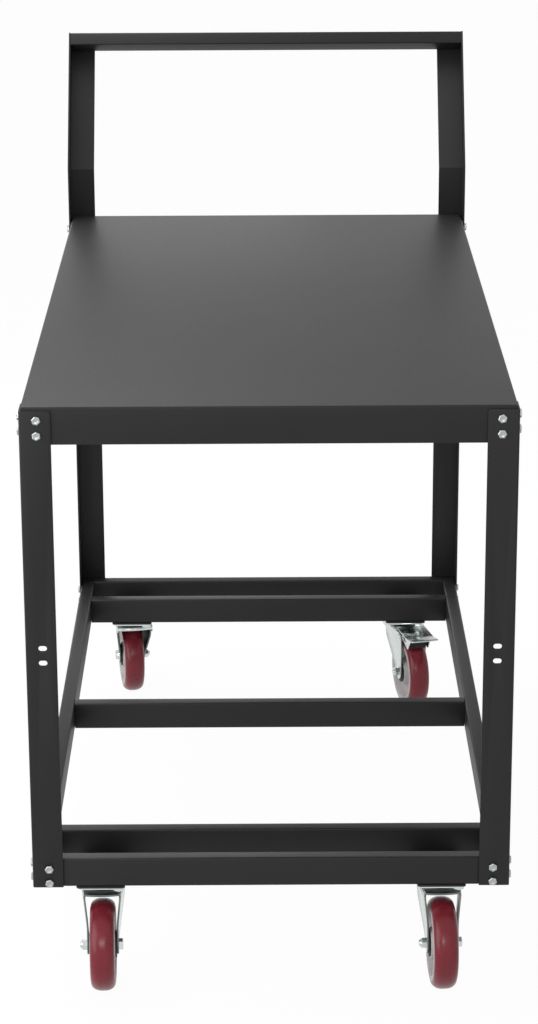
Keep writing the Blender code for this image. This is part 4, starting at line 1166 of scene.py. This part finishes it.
pedalOutline = beltPoints([
    (backCorner - halfPedal, backCircle, backCorner),
    (pedalCorner - halfPedal, tipCircle, pedalCorner),
    (halfPedal - pedalCorner, tipCircle, pedalCorner),
    (halfPedal - backCorner, backCircle, backCorner),
], pedalSizes["cornerDegrees"])
pedalPlate = drawSheet("pedalPlate", [(x, y, pedalTop) for x, y in pedalOutline])
bpy.ops.mesh.bisect(plane_co=(0, -bendAt, pedalTop), plane_no=(0, 1, 0))
for vert in bmesh.from_edit_mesh(pedalPlate.data).verts:  # turn the lip up
    past = -vert.co.y - bendAt
    if past > slack / 10:
        vert.co.y = -bendAt - past * math.cos(lipRise)
        vert.co.z = pedalTop + past * math.sin(lipRise)
bmesh.update_edit_mesh(pedalPlate.data)
roundEdges(isFold, pedalSizes["lipBend"])
faceSheet(pedalPlate, (0, 0, 1))
pressSheet(pedalPlate, pedalSizes)

earTop = underPedal + pedalSizes["sheet"] / 2
earOutline = beltPoints([
    (pinReach - pedalSizes["earBack"], earTop, 0.0),
    (pinReach, pinLevel, pedalSizes["earEnd"]),
    (pedalSizes["heelReach"], pedalSizes["heelLevel"], pedalSizes["heel"]),
    (pinReach + pedalSizes["earFront"], earTop, 0.0),
])
earFace = pedalSizes["earSpan"] / 2
ears = []
for way in (-1, 1):
    ear = drawSheet("ear", [(way * earFace, -ahead, level) for ahead, level in earOutline])
    faceSheet(ear, (way, 0, 0))
    pressSheet(ear, pedalSizes)
    ears.append(ear)
pedalPattern = joinPieces("pedalPattern", [pedalPlate] + ears)

press = math.radians(pedalSizes["press"])
shoeRadius = wheelRadius + pedalSizes["shoeGap"]
shoeArc = arcPoints((trail, axleLevel), shoeRadius, 90.0 - pedalSizes["shoeStart"],
                    90.0 - pedalSizes["shoeEnd"], pedalSizes["shoeSteps"])
shoeFace = []
for ahead, level in shoeArc:  # drawn with the pedal down, then turned up
    reach, rise = ahead - pinReach, level - pinLevel
    shoeFace.append((pinReach + reach * math.cos(press) - rise * math.sin(press),
                     pinLevel + reach * math.sin(press) + rise * math.cos(press)))
shoeTop = underPedal - gap
shoeOutline = shoeFace + [(shoeFace[-1][0], shoeTop), (shoeFace[0][0], shoeTop)]
shoeSide = -pedalSizes["shoeWidth"] / 2
shoePattern = drawSheet("shoePattern", [(shoeSide, -ahead, level) for ahead, level in shoeOutline])
pullOut((pedalSizes["shoeWidth"], 0, 0))
mendMesh(shoePattern)
easeEdges(shoePattern, pedalSizes["shoeEdge"])

rivetRadius = pedalSizes["rivet"] / 2
rivetSide = [(earFace + out, rivetRadius * width) for out, width in pedalSizes["rivetDome"]]
rivetSide.append((rivetSide[-1][0], pedalSizes["rivetShank"] / 2))
rivetPlace = (0, -pedalSizes["rivetReach"], pedalSizes["rivetLevel"])
rivetPattern = addPin("rivetPattern", rivetSide, rivetPlace)
for pattern, name, finish, slot, node in (
        (pedalPattern, "brakePedal.", brightZinc, "bright_zinc", "brake_pedal_"),
        (rivetPattern, "shoeRivet.", brightZinc, "bright_zinc", ""),
        (shoePattern, "brakeShoe.", blackRubber, "black_rubber", "brake_shoe_")):
    fitToCasters(pattern, name, finish, "pedal_", node, corners=brakedCorners)
print("brakes done")


# CAD nodes that stay get the same finishes

for corner in casterCorners:
    giveFinishes(frame["nodes"]["kingpin_" + corner], brightZinc)
    giveFinishes(frame["nodes"]["axle_bush_" + corner], bareSteel)

bpy.context.view_layer.update()
